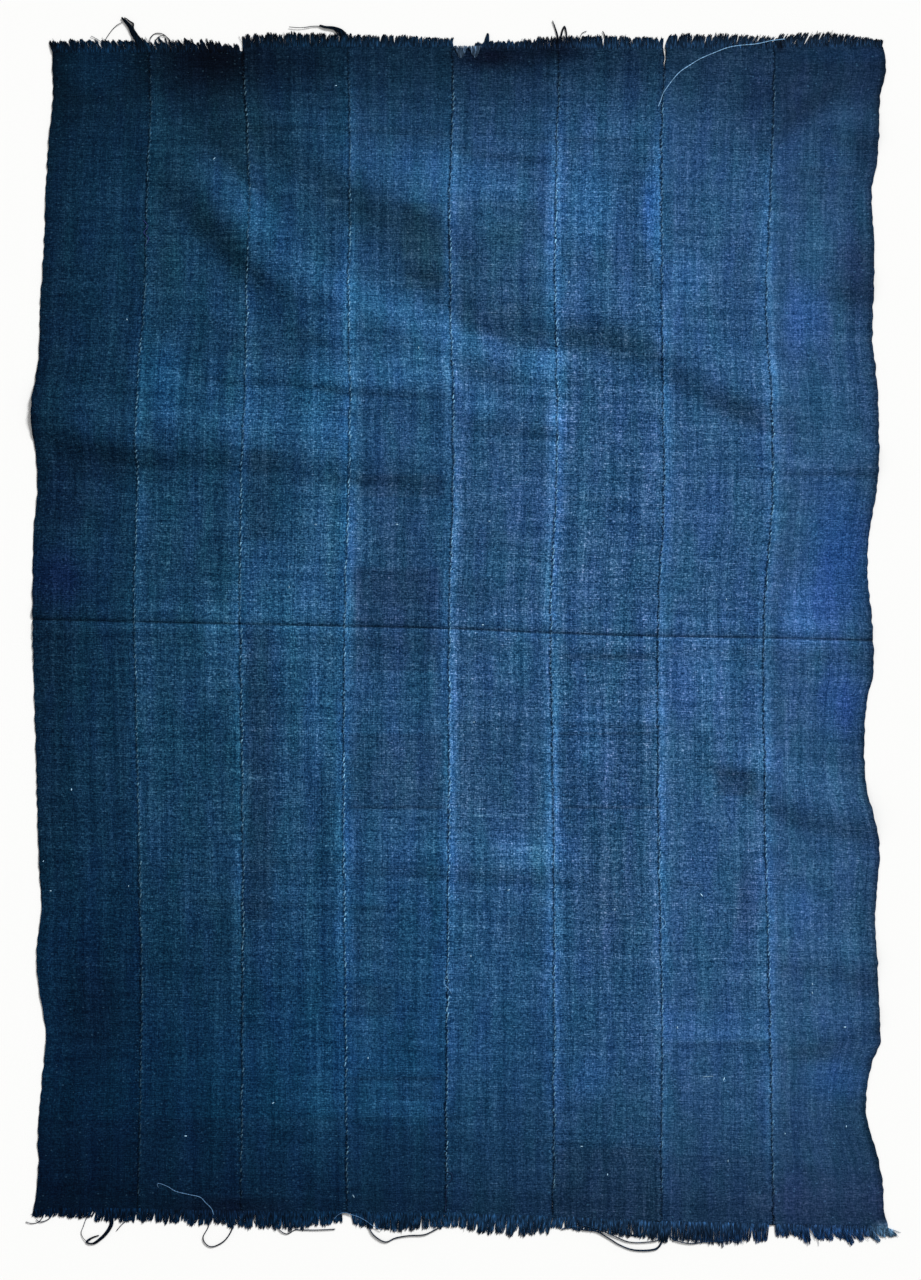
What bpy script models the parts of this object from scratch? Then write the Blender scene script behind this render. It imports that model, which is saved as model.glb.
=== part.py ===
# Indigo-dyed strip-woven cotton cloth, lying on a flat surface.
# Eight narrow strips lie side by side, each with a frayed warp fringe at both ends.
# X runs across the strips, Y along them towards the top fringe, Z up from the surface.
# The origin is at the middle of the cloth's outline, on the surface.

import math
from collections import namedtuple

import bmesh
import bpy
from mathutils import Vector

MM = 0.001

# Driving dimensions, in millimetres
THICKNESS = 1.5          # of the cloth
PIECE_GAP = 0.3          # between neighbouring pieces
BACKING_WIDTH = 4.0      # woven edge that holds one fringe together
STRIP_COUNT = 8
STRIP_COLUMNS = 5        # grid cells across one strip
LOCKS_PER_FRINGE = 16
TIP_WIDTH_SHARE = 0.66   # of a lock's root width
TIP_HEIGHT = 0.9         # of a lock above the surface
STRAND_HEIGHT = 1.2
PATH_STEPS = 4           # straight runs between two points of a smooth path

# Across position of each seam at stations along the cloth, from the top end to the bottom end
SEAM_STATIONS = (728, 666, 541, 416, 292, 167, 43, -206, -455, -704)
SEAMS = (
    (-391, -386, -392, -395, -406, -403, -407, -403, -402, -401),
    (-268, -265, -265, -268, -273, -275, -276, -273, -274, -273),
    (-139, -139, -137, -137, -141, -142, -146, -148, -146, -144),
    (-13, -11, -16, -15, -12, -9, -14, -15, -19, -24),
    (122, 120, 118, 122, 120, 117, 113, 113, 113, 113),
    (251, 246, 248, 249, 255, 256, 247, 245, 248, 249),
    (391, 392, 388, 382, 385, 390, 381, 380, 383, 385),
)

# Ends of seams that stand open where their sewing stops short: extra gap between the strips
OPEN_SEAMS_TOP = {6: 3.0}
OPEN_SEAMS_BOTTOM = {3: 1.0, 4: 1.0, 5: 1.5, 7: 2.0}
OPEN_LENGTH = 28.0       # over which such a seam closes

# Outer selvedges, as (along, across) points from the top end to the bottom end
LEFT_SELVEDGE = (
    (728, -510), (666, -509), (628, -513), (553, -518), (479, -520), (404, -525),
    (342, -527), (311, -533), (292, -537), (255, -537), (230, -532), (180, -529),
    (130, -533), (-7, -534), (-82, -532), (-231, -528), (-306, -525), (-343, -523),
    (-380, -528), (-418, -529), (-455, -524), (-492, -518), (-530, -520), (-567, -524),
    (-604, -527), (-679, -528), (-717, -533),
)
RIGHT_SELVEDGE = (
    (734, 519), (724, 525), (700, 527), (666, 520), (591, 517), (553, 510), (479, 513), (367, 510), (329, 514),
    (292, 517), (217, 517), (180, 514), (143, 508), (105, 503), (68, 503), (31, 507),
    (-44, 510), (-82, 503), (-119, 499), (-156, 499), (-194, 502), (-231, 512),
    (-268, 520), (-306, 517), (-360, 514), (-418, 517), (-492, 520), (-530, 510),
    (-567, 503), (-604, 504), (-642, 515), (-679, 523), (-717, 525), (-739, 530),
)

# Along position of each strip's woven ends, at its left and its right side
StripEnds = namedtuple("StripEnds", "top_left top_right bottom_left bottom_right")
STRIP_ENDS = (
    StripEnds(726, 726, -715, -716),
    StripEnds(726, 726, -716, -719),
    StripEnds(732, 733, -719, -720),
    StripEnds(733, 733, -720, -721),
    StripEnds(730, 730, -721, -725),
    StripEnds(730, 730, -726, -731),
    StripEnds(731, 731, -731, -735),
    StripEnds(731, 733, -735, -738),
)

# Folds: a crest line of (across, along, height) points, with the width of the slope on each side.
# A ridge stands up along its line. A pinch is a pressed crease between two low swells.
Fold = namedtuple("Fold", "name kind upper_slope lower_slope crest")
FOLDS = (
    Fold("long diagonal", "ridge", 55, 40, (
        (-378, 628, 3), (-330, 570, 8), (-286, 522, 12), (-233, 456, 12), (-168, 418, 9),
        (-140, 360, 6), (-138, 300, 3))),
    Fold("upper middle", "ridge", 45, 36, ((-118, 566, 3), (16, 522, 7), (84, 500, 3))),
    Fold("wandering", "ridge", 60, 32, (
        (-66, 512, 3), (-15, 442, 7), (80, 393, 9), (178, 399, 7), (243, 368, 8),
        (305, 325, 9), (378, 293, 7), (436, 272, 3))),
    Fold("short upper", "ridge", 32, 26, ((4, 350, 3), (97, 328, 5), (150, 330, 3))),
    Fold("short lower", "ridge", 32, 22, ((22, 273, 3), (103, 261, 4), (130, 262, 2))),
    Fold("left middle", "ridge", 55, 36, (
        (-545, 284, 6), (-413, 242, 7), (-276, 234, 8), (-130, 222, 5), (-27, 207, 3))),
    Fold("pressed crease", "pinch", 34, 34, (
        (-560, 16, 3), (-270, 9, 3), (0, 3, 3), (270, -1, 3), (560, -5, 3))),
    Fold("right lower", "ridge", 55, 36, ((322, -140, 4), (414, -206, 8), (530, -232, 6))),
    Fold("right foot", "ridge", 40, 30, ((400, -398, 3), (545, -412, 5))),
    Fold("middle step", "ridge", 42, 26, ((-139, -278, 3), (-15, -283, 6), (122, -291, 4))),
    Fold("right edge top", "ridge", 30, 26, ((462, 630, 3), (545, 620, 5))),
    Fold("right edge upper", "ridge", 32, 28, ((462, 440, 3), (545, 430, 5))),
    Fold("right edge middle", "ridge", 32, 28, ((470, 222, 3), (545, 212, 5))),
)
CREASE = next(fold for fold in FOLDS if fold.kind == "pinch")
SWELL_SCALE = 6.75       # brings the top of share * (1 - share) squared to one

# Rows of the strips' grid: how many cells fill each stretch from the top end to the bottom end
Stretch = namedtuple("Stretch", "start end cells")
STRETCHES = (
    Stretch(700, 640, 2),
    Stretch(640, 190, 17),
    Stretch(190, 40, 5),
    Stretch(40, 0, 2),
    Stretch(0, -40, 2),
    Stretch(-40, -120, 2),
    Stretch(-120, -320, 7),
    Stretch(-320, -700, 11),
)

# Fringe of each strip: sideways lean of its first and last lock in degrees, positive to the
# right, their lengths at the start, middle and end, and the share of the width left bare.
Fringe = namedtuple("Fringe", "lean_first lean_last start middle end bare_start bare_end")
TOP_FRINGES = (
    Fringe(-36, -28, 13, 12, 10, 0.0, 0.0),
    Fringe(-30, -12, 15, 12, 7, 0.07, 0.0),
    Fringe(-6, 2, 15, 17, 15, 0.0, 0.0),
    Fringe(0, 4, 14, 13, 9, 0.0, 0.0),
    Fringe(0, -6, 6, 9, 15, 0.22, 0.0),
    Fringe(-2, 0, 15, 16, 13, 0.0, 0.0),
    Fringe(6, 30, 16, 15, 14, 0.0, 0.0),
    Fringe(32, 34, 17, 16, 8, 0.0, 0.0),
)
BOTTOM_FRINGES = (
    Fringe(-26, -9, 9, 12, 15, 0.0, 0.0),
    Fringe(-10, -4, 15, 15, 19, 0.0, 0.0),
    Fringe(-4, -2, 20, 21, 15, 0.0, 0.07),
    Fringe(2, -2, 15, 18, 14, 0.05, 0.0),
    Fringe(-4, -16, 15, 22, 22, 0.0, 0.0),
    Fringe(-6, 2, 12, 16, 17, 0.0, 0.0),
    Fringe(0, 2, 18, 24, 16, 0.0, 0.0),
    Fringe(8, 52, 13, 23, 18, 0.0, 0.0),
)
# Each lock differs a little from the next in length and lean
RAGGED_LENGTH = 0.15
RAGGED_LEAN = 4.0

# Tufts and loose warp ends: strip whose fringe holds them, width at root and tip, and the path
Strand = namedtuple("Strand", "strip root_width tip_width path")
TOP_STRANDS = (
    Strand(1, 1.6, 1.2, ((-441, 741), (-439, 749), (-434, 756), (-427, 761))),
    Strand(1, 6.5, 1.5, ((-399, 737), (-406, 746), (-413, 755), (-419, 762), (-423, 768))),
    Strand(3, 5.0, 1.2, (
        (-145, 740), (-151, 748), (-160, 753), (-170, 756), (-184, 756), (-200, 755),
        (-215, 756))),
    Strand(5, 3.5, 1.2, ((118, 741), (115, 749), (113, 755))),
)
BOTTOM_STRANDS = (
    Strand(1, 2.0, 1.2, ((-518, -724), (-528, -731), (-543, -732))),
    Strand(1, 4.0, 1.4, (
        (-436, -729), (-437, -739), (-446, -750), (-457, -758), (-467, -756), (-474, -747),
        (-473, -738), (-468, -732))),
    Strand(2, 2.0, 1.4, (
        (-282, -731), (-286, -742), (-294, -753), (-304, -760), (-314, -763), (-322, -757),
        (-321, -748), (-316, -741))),
    Strand(4, 2.2, 1.6, (
        (-121, -735), (-118, -745), (-108, -753), (-95, -755), (-82, -750), (-66, -747),
        (-48, -747), (-36, -742))),
    Strand(6, 2.2, 1.6, (
        (244, -743), (250, -752), (246, -761), (236, -766), (214, -766), (197, -760),
        (184, -752), (176, -747))),
)

# Indigo of each strip from the left, as seen: darker where it was dyed deepest
STRIP_COLOURS = (
    "0d2a48", "1a3b5c", "244a70", "2a4b6d", "345980", "365d88", "35597c", "2f5b8c",
)
CLOTH_ROUGHNESS = 0.92


def smooth_value(points, at):
    """Read a smooth curve through (along, across) points, straight beyond its ends."""
    points = sorted(points)
    slopes = []
    for index in range(len(points)):
        before = points[max(index - 1, 0)]
        after = points[min(index + 1, len(points) - 1)]
        slopes.append((after[1] - before[1]) / (after[0] - before[0]))
    if at <= points[0][0]:
        return points[0][1] + slopes[0] * (at - points[0][0])
    if at >= points[-1][0]:
        return points[-1][1] + slopes[-1] * (at - points[-1][0])
    index = max(i for i in range(len(points) - 1) if points[i][0] <= at)
    span = points[index + 1][0] - points[index][0]
    t = (at - points[index][0]) / span
    rise = points[index + 1][1] - points[index][1]
    ease = t * t * (3 - 2 * t)
    start_bend = slopes[index] * span * t * (1 - t) ** 2
    end_bend = slopes[index + 1] * span * t * t * (t - 1)
    return points[index][1] + rise * ease + start_bend + end_bend


def smooth_path(points):
    """Bend a line of points of any size into a smooth one that still passes through them."""
    points = [Vector(point) for point in points]
    path = []
    for index in range(len(points) - 1):
        here = points[index]
        there = points[index + 1]
        pull = (there - points[max(index - 1, 0)]) / 2
        push = (points[min(index + 2, len(points) - 1)] - here) / 2
        for step in range(PATH_STEPS):
            t = step / PATH_STEPS
            ease = t * t * (3 - 2 * t)
            bend = pull * t * (1 - t) ** 2 + push * t * t * (t - 1)
            path.append(here.lerp(there, ease) + bend)
    path.append(points[-1])
    return path


FOLD_CRESTS = [smooth_path(fold.crest) for fold in FOLDS]


def fold_height(fold, crest, spot):
    """Height of one fold above the surface at a spot, from the nearest point of its crest."""
    nearest = None
    for start, end in zip(crest, crest[1:]):
        run = (end - start).to_2d()
        t = (spot - start.to_2d()).dot(run) / run.length_squared
        point = start.lerp(end, min(max(t, 0), 1))
        offset = spot - point.to_2d()
        if nearest is None or offset.length < nearest[0]:
            above = run.x * offset.y - run.y * offset.x > 0
            nearest = (offset.length, point.z, above)
    distance, height, above = nearest
    share = distance / (fold.upper_slope if above else fold.lower_slope)
    if share >= 1:
        return 0
    if fold.kind == "pinch":
        return height * SWELL_SCALE * share * (1 - share) ** 2
    return height * (1 - share * share) ** 2


def cloth_height(across, along):
    """Height of the cloth's underside above the surface."""
    spot = Vector((across, along))
    return sum(fold_height(fold, crest, spot) for fold, crest in zip(FOLDS, FOLD_CRESTS))


def strip_side(side, along):
    """Across position of a strip's side: side 0 is the left selvedge, 8 the right one."""
    if side == 0:
        return smooth_value(LEFT_SELVEDGE, along)
    if side == STRIP_COUNT:
        return smooth_value(RIGHT_SELVEDGE, along)
    limit = STRETCHES[0].start
    inside = min(max(along, -limit), limit)
    points = list(zip(SEAM_STATIONS, SEAMS[side - 1]))
    return smooth_value(points, inside)


def seam_gap(side, along):
    """Gap between the strips at a seam, wider where its end stands open."""
    extra = (OPEN_SEAMS_TOP if along > 0 else OPEN_SEAMS_BOTTOM).get(side, 0)
    reach = (abs(along) - STRETCHES[0].start) / OPEN_LENGTH
    return PIECE_GAP + extra * min(max(reach, 0), 1)


def strip_across(strip, share, along):
    """Across position at a share of a strip's width, with half a gap left at each side."""
    left = strip_side(strip - 1, along) + seam_gap(strip - 1, along) / 2
    right = strip_side(strip, along) - seam_gap(strip, along) / 2
    return left + (right - left) * share


def row_stations():
    """Nominal along position of each inner row of the grid, from top to bottom."""
    rows = [STRETCHES[0].start]
    for stretch in STRETCHES:
        step = (stretch.end - stretch.start) / stretch.cells
        rows += [stretch.start + step * (cell + 1) for cell in range(stretch.cells)]
    return rows


def crease_along(across):
    """Along position of the pressed crease, which one row of the grid follows."""
    return smooth_value([(point[0], point[1]) for point in CREASE.crest], across)


def strip_end(strip, share, top):
    """Along position of a strip's woven end at a share of its width."""
    ends = STRIP_ENDS[strip - 1]
    left, right = (ends.top_left, ends.top_right) if top else (ends.bottom_left, ends.bottom_right)
    return left + (right - left) * share


def strip_point(strip, share, row, rows):
    """Point on a strip's underside, for a share of its width and a row of its grid."""
    if row == 0 or row == len(rows) + 1:
        inset = BACKING_WIDTH + PIECE_GAP
        top = row == 0
        along = strip_end(strip, share, top) + (-inset if top else inset)
    else:
        station = rows[row - 1]
        fade = 1 - abs(station) / rows[0]
        along = station + crease_along(strip_across(strip, share, station)) * fade
    across = strip_across(strip, share, along)
    return Vector((across, along, cloth_height(across, along)))


def indigo_material(name, hex_colour):
    """Dyed cotton: a matt Principled surface in one of the cloth's blues."""
    material = bpy.data.materials.new(name)
    material.use_nodes = True
    surface = material.node_tree.nodes["Principled BSDF"]
    channels = [int(hex_colour[i:i + 2], 16) / 255 for i in (0, 2, 4)]
    linear = [c / 12.92 if c <= 0.04045 else ((c + 0.055) / 1.055) ** 2.4 for c in channels]
    surface.inputs["Base Color"].default_value = (*linear, 1)
    surface.inputs["Roughness"].default_value = CLOTH_ROUGHNESS
    surface.inputs["Metallic"].default_value = 0.0
    return material


def add_piece(name, shape, hex_colour):
    """Turn a shape made in millimetres into a named object in metres."""
    bmesh.ops.recalc_face_normals(shape, faces=shape.faces)
    bmesh.ops.scale(shape, vec=(MM, MM, MM), verts=shape.verts)
    mesh = bpy.data.meshes.new(name)
    shape.to_mesh(mesh)
    shape.free()
    mesh.materials.append(indigo_material(name + "_cotton", hex_colour))
    piece = bpy.data.objects.new(name, mesh)
    bpy.context.scene.collection.objects.link(piece)
    return piece


def raise_sheet(shape, thickness):
    """Give a flat or folded sheet its thickness, straight up from its underside."""
    raised = bmesh.ops.extrude_face_region(shape, geom=list(shape.faces), use_keep_orig=True)
    verts = [item for item in raised["geom"] if isinstance(item, bmesh.types.BMVert)]
    bmesh.ops.translate(shape, vec=(0, 0, thickness), verts=verts)


def build_strip(strip):
    """One woven strip between its two fringes, lying in the folds."""
    rows = row_stations()
    shape = bmesh.new()
    bmesh.ops.create_grid(
        shape, x_segments=STRIP_COLUMNS, y_segments=len(rows) + 1, size=0.5)
    for vert in shape.verts:
        share = vert.co.x + 0.5
        row = round((0.5 - vert.co.y) * (len(rows) + 1))
        vert.co = strip_point(strip, share, row, rows)
    raise_sheet(shape, THICKNESS)
    return add_piece("strip_%d" % strip, shape, STRIP_COLOURS[strip - 1])


def extrude_end(shape, face, centre, across, half_width, height):
    """Extrude a four-sided lock by one run and shape its new end face, level on the surface."""
    old_centre = face.calc_center_median()
    end = bmesh.ops.extrude_discrete_faces(shape, faces=[face])["faces"][0]
    for vert in end.verts:
        side = 1 if (vert.co - old_centre).dot(across) > 0 else -1
        level = height if vert.co.z > old_centre.z else 0
        vert.co = Vector((centre.x, centre.y, 0)) + across * side * half_width
        vert.co.z = level
    return end


def sample_three(start, middle, end, share):
    """Value between three that stand at the start, middle and end."""
    if share < 0.5:
        return start + (middle - start) * share * 2
    return middle + (end - middle) * (share - 0.5) * 2


def add_lock(shape, face, fringe, share, number, outward):
    """A short tapered lock of frayed warp ends."""
    wave = math.sin(number * 2.4)
    lean = fringe.lean_first + (fringe.lean_last - fringe.lean_first) * share
    lean = math.radians(lean + RAGGED_LEAN * math.sin(number * 0.9))
    length = sample_three(fringe.start, fringe.middle, fringe.end, share)
    length *= 1 + RAGGED_LENGTH * wave
    root = face.calc_center_median()
    width = max((a.co - b.co).length for a in face.verts for b in face.verts)
    tip = root + Vector((math.sin(lean), outward * math.cos(lean), 0)) * length
    half_width = width * TIP_WIDTH_SHARE / 2
    extrude_end(shape, face, tip, Vector((1, 0, 0)), half_width, TIP_HEIGHT)


def add_strand(shape, face, strand):
    """A tuft or loose warp end that winds away over the surface from its root."""
    root = face.calc_center_median()
    root.z = 0
    path = smooth_path([root] + [Vector((x, y, 0)) for x, y in strand.path])
    across = Vector((1, 0, 0))
    for index in range(1, len(path)):
        run = path[min(index + 1, len(path) - 1)] - path[index - 1]
        turned = Vector((run.y, -run.x, 0)).normalized()
        across = turned if turned.dot(across) > 0 else -turned
        share = index / (len(path) - 1)
        width = strand.root_width + (strand.tip_width - strand.root_width) * share
        height = min(STRAND_HEIGHT, width)
        face = extrude_end(shape, face, path[index], across, width / 2, height)


def build_fringe(strip, top):
    """The woven edge of one strip's end with its frayed locks and loose strands."""
    fringe = (TOP_FRINGES if top else BOTTOM_FRINGES)[strip - 1]
    strands = [s for s in (TOP_STRANDS if top else BOTTOM_STRANDS) if s.strip == strip]
    outward = 1 if top else -1
    shape = bmesh.new()
    bmesh.ops.create_grid(shape, x_segments=LOCKS_PER_FRINGE, y_segments=1, size=0.5)
    for vert in shape.verts:
        share = vert.co.x + 0.5
        outer = vert.co.y * outward > 0
        along = strip_end(strip, share, top) - (0 if outer else BACKING_WIDTH * outward)
        vert.co = Vector((strip_across(strip, share, along), along, 0))
    raise_sheet(shape, THICKNESS)
    bmesh.ops.recalc_face_normals(shape, faces=shape.faces)
    roots = [face for face in shape.faces if face.normal.y * outward > 0.9]
    roots.sort(key=lambda face: face.calc_center_median().x)
    centres = [face.calc_center_median().x for face in roots]
    held = {}
    for strand in strands:
        start = strand.path[0][0]
        held[min(range(len(roots)), key=lambda i: abs(centres[i] - start))] = strand
    for index, face in enumerate(roots):
        share = (index + 0.5) / LOCKS_PER_FRINGE
        if index in held:
            add_strand(shape, face, held[index])
        elif fringe.bare_start <= share <= 1 - fringe.bare_end:
            add_lock(shape, face, fringe, share, index + strip * LOCKS_PER_FRINGE, outward)
    name = "fringe_%s_%d" % ("top" if top else "bottom", strip)
    return add_piece(name, shape, STRIP_COLOURS[strip - 1])


def build_cloth():
    """Every strip with its two fringes, in an emptied scene."""
    for existing in list(bpy.data.objects):
        bpy.data.objects.remove(existing, do_unlink=True)
    for strip in range(1, STRIP_COUNT + 1):
        build_strip(strip)
        build_fringe(strip, top=True)
        build_fringe(strip, top=False)


build_cloth()
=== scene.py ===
# Indigo-dyed strip-woven cotton cloth, laid flat and seen from straight above
import math
from collections import namedtuple
from functools import partial

import bmesh
import bpy
import numpy as np
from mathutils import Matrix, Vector


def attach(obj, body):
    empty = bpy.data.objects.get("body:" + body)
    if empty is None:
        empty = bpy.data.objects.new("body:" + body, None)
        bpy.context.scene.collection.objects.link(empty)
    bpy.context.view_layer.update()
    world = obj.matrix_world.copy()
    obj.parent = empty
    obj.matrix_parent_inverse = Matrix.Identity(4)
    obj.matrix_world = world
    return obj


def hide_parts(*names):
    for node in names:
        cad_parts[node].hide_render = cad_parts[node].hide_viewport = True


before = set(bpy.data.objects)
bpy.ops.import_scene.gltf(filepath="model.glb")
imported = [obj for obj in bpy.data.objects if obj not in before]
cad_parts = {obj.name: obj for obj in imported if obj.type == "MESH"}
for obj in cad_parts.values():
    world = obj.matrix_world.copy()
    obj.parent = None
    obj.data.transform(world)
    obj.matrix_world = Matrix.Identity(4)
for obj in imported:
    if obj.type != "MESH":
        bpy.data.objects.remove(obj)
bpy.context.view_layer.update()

mm = 0.001
stripCount = 8
stripNumbers = range(1, stripCount + 1)
stripWidth = 130  # of the average strip as it comes off the loom, in millimetres


# The plan, in millimetres: x across the strips, y along them towards the top, z up from the surface

# Across position of each seam at stations along the cloth, from the top end to the bottom end
seamStations = (728, 666, 541, 416, 292, 167, 43, -206, -455, -704)
seamLines = (
    (-392, -388, -393, -396, -406, -405, -409, -404, -400, -404),
    (-275, -270, -265, -269, -271, -276, -277, -274, -274, -276),
    (-142, -141, -140, -142, -140, -142, -146, -148, -146, -144),
    (-13, -12, -16, -15, -12, -12, -16, -17, -19, -21),
    (121, 119, 116, 115, 118, 116, 110, 113, 114, 113),
    (255, 249, 248, 248, 250, 251, 244, 244, 248, 248),
    (388, 387, 383, 378, 384, 386, 376, 376, 382, 387),
)

# Outer selvedges, as (along, across) points from the top end to the bottom end
leftSelvedge = (
    (728, -510), (666, -509), (628, -513), (553, -518), (479, -520), (404, -525),
    (342, -527), (311, -532), (292, -535.5), (255, -535), (230, -531), (180, -528),
    (130, -533), (-7, -534), (-82, -532), (-231, -528), (-306, -525), (-343, -523),
    (-380, -528), (-418, -529), (-455, -524), (-492, -518), (-530, -520), (-567, -524),
    (-604, -527), (-679, -528), (-717, -533),
)
rightSelvedge = (
    (734, 522.5), (724, 526), (700, 527), (666, 520), (591, 517), (553, 510), (479, 513),
    (367, 511), (329, 515), (292, 518), (217, 518.5), (180, 516), (143, 509.5), (105, 505),
    (68, 505), (31, 509), (-44, 512), (-82, 504), (-119, 501), (-156, 501), (-194, 503.5),
    (-231, 513), (-268, 520), (-306, 517), (-360, 514), (-418, 517), (-492, 520), (-507, 521),
    (-530, 511), (-567, 503.5), (-604, 504), (-642, 515), (-679, 523), (-717, 525),
    (-739, 530),
)

# Along position of each strip's woven ends, at its left and its right side
StripEnds = namedtuple("StripEnds", "topLeft topRight bottomLeft bottomRight")
stripEnds = [StripEnds(*row) for row in (
    (726, 726, -715, -716),
    (726, 726, -716, -719),
    (732, 733, -719, -720),
    (733, 733, -720, -721),
    (730, 730, -721, -725),
    (730, 730, -726, -731),
    (731, 731, -731, -735),
    (731, 733, -735, -738),
)]

# Seam ends that stand open where the sewing stops short: extra gap between the strips
openSeamsTop = {6: 3.0}
openSeamsBottom = {3: 0.4, 4: 1.0, 5: 0.6, 7: 0.6}

# Folds: the crest is a line of (across, along, height) points, with a slope on each side of it.
# Here and in the patches of colour the name only says which one it is
Fold = namedtuple("Fold", "name upperSlope lowerSlope crest")
folds = [Fold(*row) for row in (
    ("long diagonal", 60, 48, (
        (-392, 624, 3), (-350, 577, 8), (-311, 538, 12), (-278, 504, 12), (-246, 468, 10),
        (-212, 434, 8), (-170, 384, 5), (-138, 300, 3))),
    ("upper middle", 45, 46, (
        (-118, 560, 4), (-27, 524, 7), (35, 488, 8), (97, 440, 5), (130, 415, 2))),
    ("wandering", 60, 42, (
        (-66, 500, 4), (-15, 446, 7), (80, 393, 9), (178, 399, 7), (243, 368, 8),
        (305, 325, 9), (378, 293, 7), (436, 272, 3))),
    ("short upper", 32, 26, ((4, 350, 3), (97, 328, 5), (150, 330, 3))),
    ("short lower", 32, 22, ((22, 273, 3), (103, 261, 4), (130, 262, 2))),
    ("left middle", 55, 36, (
        (-545, 282, 5), (-470, 256, 9), (-413, 242, 9), (-276, 234, 9), (-130, 222, 6),
        (-27, 207, 3))),
    ("right lower", 55, 36, ((322, -140, 4), (414, -206, 8), (530, -232, 6))),
    ("right foot", 40, 30, ((400, -398, 3), (545, -412, 5))),
    ("middle step", 42, 26, ((-139, -278, 3), (-15, -283, 6), (122, -291, 4))),
    ("right edge top", 30, 26, ((462, 630, 3), (545, 620, 5))),
    ("right edge upper", 32, 28, ((462, 440, 3), (545, 430, 5))),
    ("right edge middle", 32, 28, ((470, 222, 3), (545, 212, 5))),
)]

# Small creases and puckers left by years of folding, which only the thin sheet shows
creases = [Fold(*row) for row in (
    ("second diagonal", 46, 44, (
        (-262, 650, 1.5), (-200, 612, 5.0), (-140, 575, 5.0), (-90, 552, 3.0), (-40, 530, 1.0))),
    ("top line left", 20, 9, ((-310, 634, 0.8), (-220, 634, 1.8), (-127, 632, 1.5), (-15, 629, 1.6))),
    ("top line right", 18, 8, ((60, 622, 0.6), (150, 620, 1.1), (238, 621, 1.0))),
    ("strip five top", 20, 11, ((4, 604, 1.0), (60, 600, 2.0), (108, 594, 1.6))),
    ("strip four bend", 30, 20, ((-88, 550, 1.0), (-58, 534, 3.0), (-30, 518, 2.0))),
    ("strip four dip", 24, 14, ((-82, 457, 0.8), (-50, 454, 2.4), (-24, 450, 1.8))),
    ("diagonal's first twin", 30, 24, ((-312, 634, 1.0), (-280, 604, 3.4), (-248, 570, 2.0))),
    ("diagonal's second twin", 22, 14, ((-264, 572, 1.0), (-238, 556, 2.6), (-212, 540, 1.2))),
    ("diagonal's third twin", 24, 14, ((-268, 468, 1.0), (-240, 446, 2.6), (-212, 424, 1.4))),
    ("diagonal's foot", 26, 16, ((-210, 388, 1.4), (-178, 374, 3.4), (-150, 362, 2.0))),
    ("under the diagonal", 24, 16, ((-322, 404, 1.0), (-298, 390, 2.2), (-276, 376, 1.4))),
    ("strips two to four", 26, 14, (
        (-328, 328, 1.6), (-276, 321, 2.8), (-212, 321, 2.6), (-170, 314, 4.4), (-139, 309, 3.4),
        (-100, 308, 3.6), (-15, 304, 2.4))),
    ("low left line", 18, 9, (
        (-460, -281, 0.8), (-360, -283, 1.2), (-240, -280, 0.9), (-150, -276, 1.4))),
    ("second low line", 18, 10, (
        (-336, -325, 1.0), (-284, -330, 1.8), (-210, -330, 1.2), (-140, -334, 1.2), (-15, -339, 1.2))),
    ("strip three low", 18, 10, ((-272, -430, 0.7), (-210, -432, 1.1), (-152, -433, 0.8))),
    ("strip four low", 20, 11, ((-126, -539, 1.0), (-80, -541, 1.7), (-34, -542, 1.2))),
    ("bottom line", 22, 11, ((-218, -594, 1.0), (-120, -597, 2.0), (-15, -597, 1.6))),
    ("corner turn", 26, 14, ((384, 632, 1.6), (421, 662, 2.8), (480, 698, 1.8))),
    ("low right fold", 32, 26, ((392, -505, 1.0), (450, -493, 3.4), (518, -479, 3.4))),
    ("strip eight top", 18, 10, ((400, 582, 0.8), (485, 580, 1.4))),
    ("strip eight middle", 20, 10, ((350, 207, 0.8), (420, 206, 1.6), (490, 205, 1.6))),
    ("strip six upper", 16, 9, ((130, 175, 0.6), (166, 174, 1.2), (204, 172, 0.8))),
    ("strip six middle", 18, 10, ((140, -23, 0.8), (190, -22, 1.4), (241, -22, 0.8))),
    ("strip six line", 20, 10, ((117, -108, 1.2), (180, -108, 2.0), (243, -109, 1.8))),
    ("strip seven dent", 26, 14, ((296, -158, 1.6), (340, -163, 3.0), (380, -168, 1.8))),
    ("strip seven line", 16, 9, ((246, -304, 0.8), (275, -306, 1.4), (305, -308, 0.8))),
    ("strip seven low", 12, 12, ((262, -505, 0.6), (320, -503, 1.2), (380, -500, 0.8))),
    ("curved mark", 14, 12, ((44, -531, 0.7), (14, -560, 1.6), (2, -596, 1.8), (7, -628, 1.0))),
    ("low right line", 18, 10, ((62, -626, 0.7), (150, -629, 1.3), (238, -632, 0.9))),
    ("low right slant", 16, 10, ((400, -640, 0.8), (430, -660, 1.6), (462, -682, 0.9))),
)]

# The crease pressed across the middle of the folded cloth, as (across, along) points
pressedCrease = (
    (-560, 19), (-276, 12.5), (-146, 10), (-15, 7), (110, 1.5), (240, -2.5), (371, -4.5), (560, -9.5))

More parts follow.
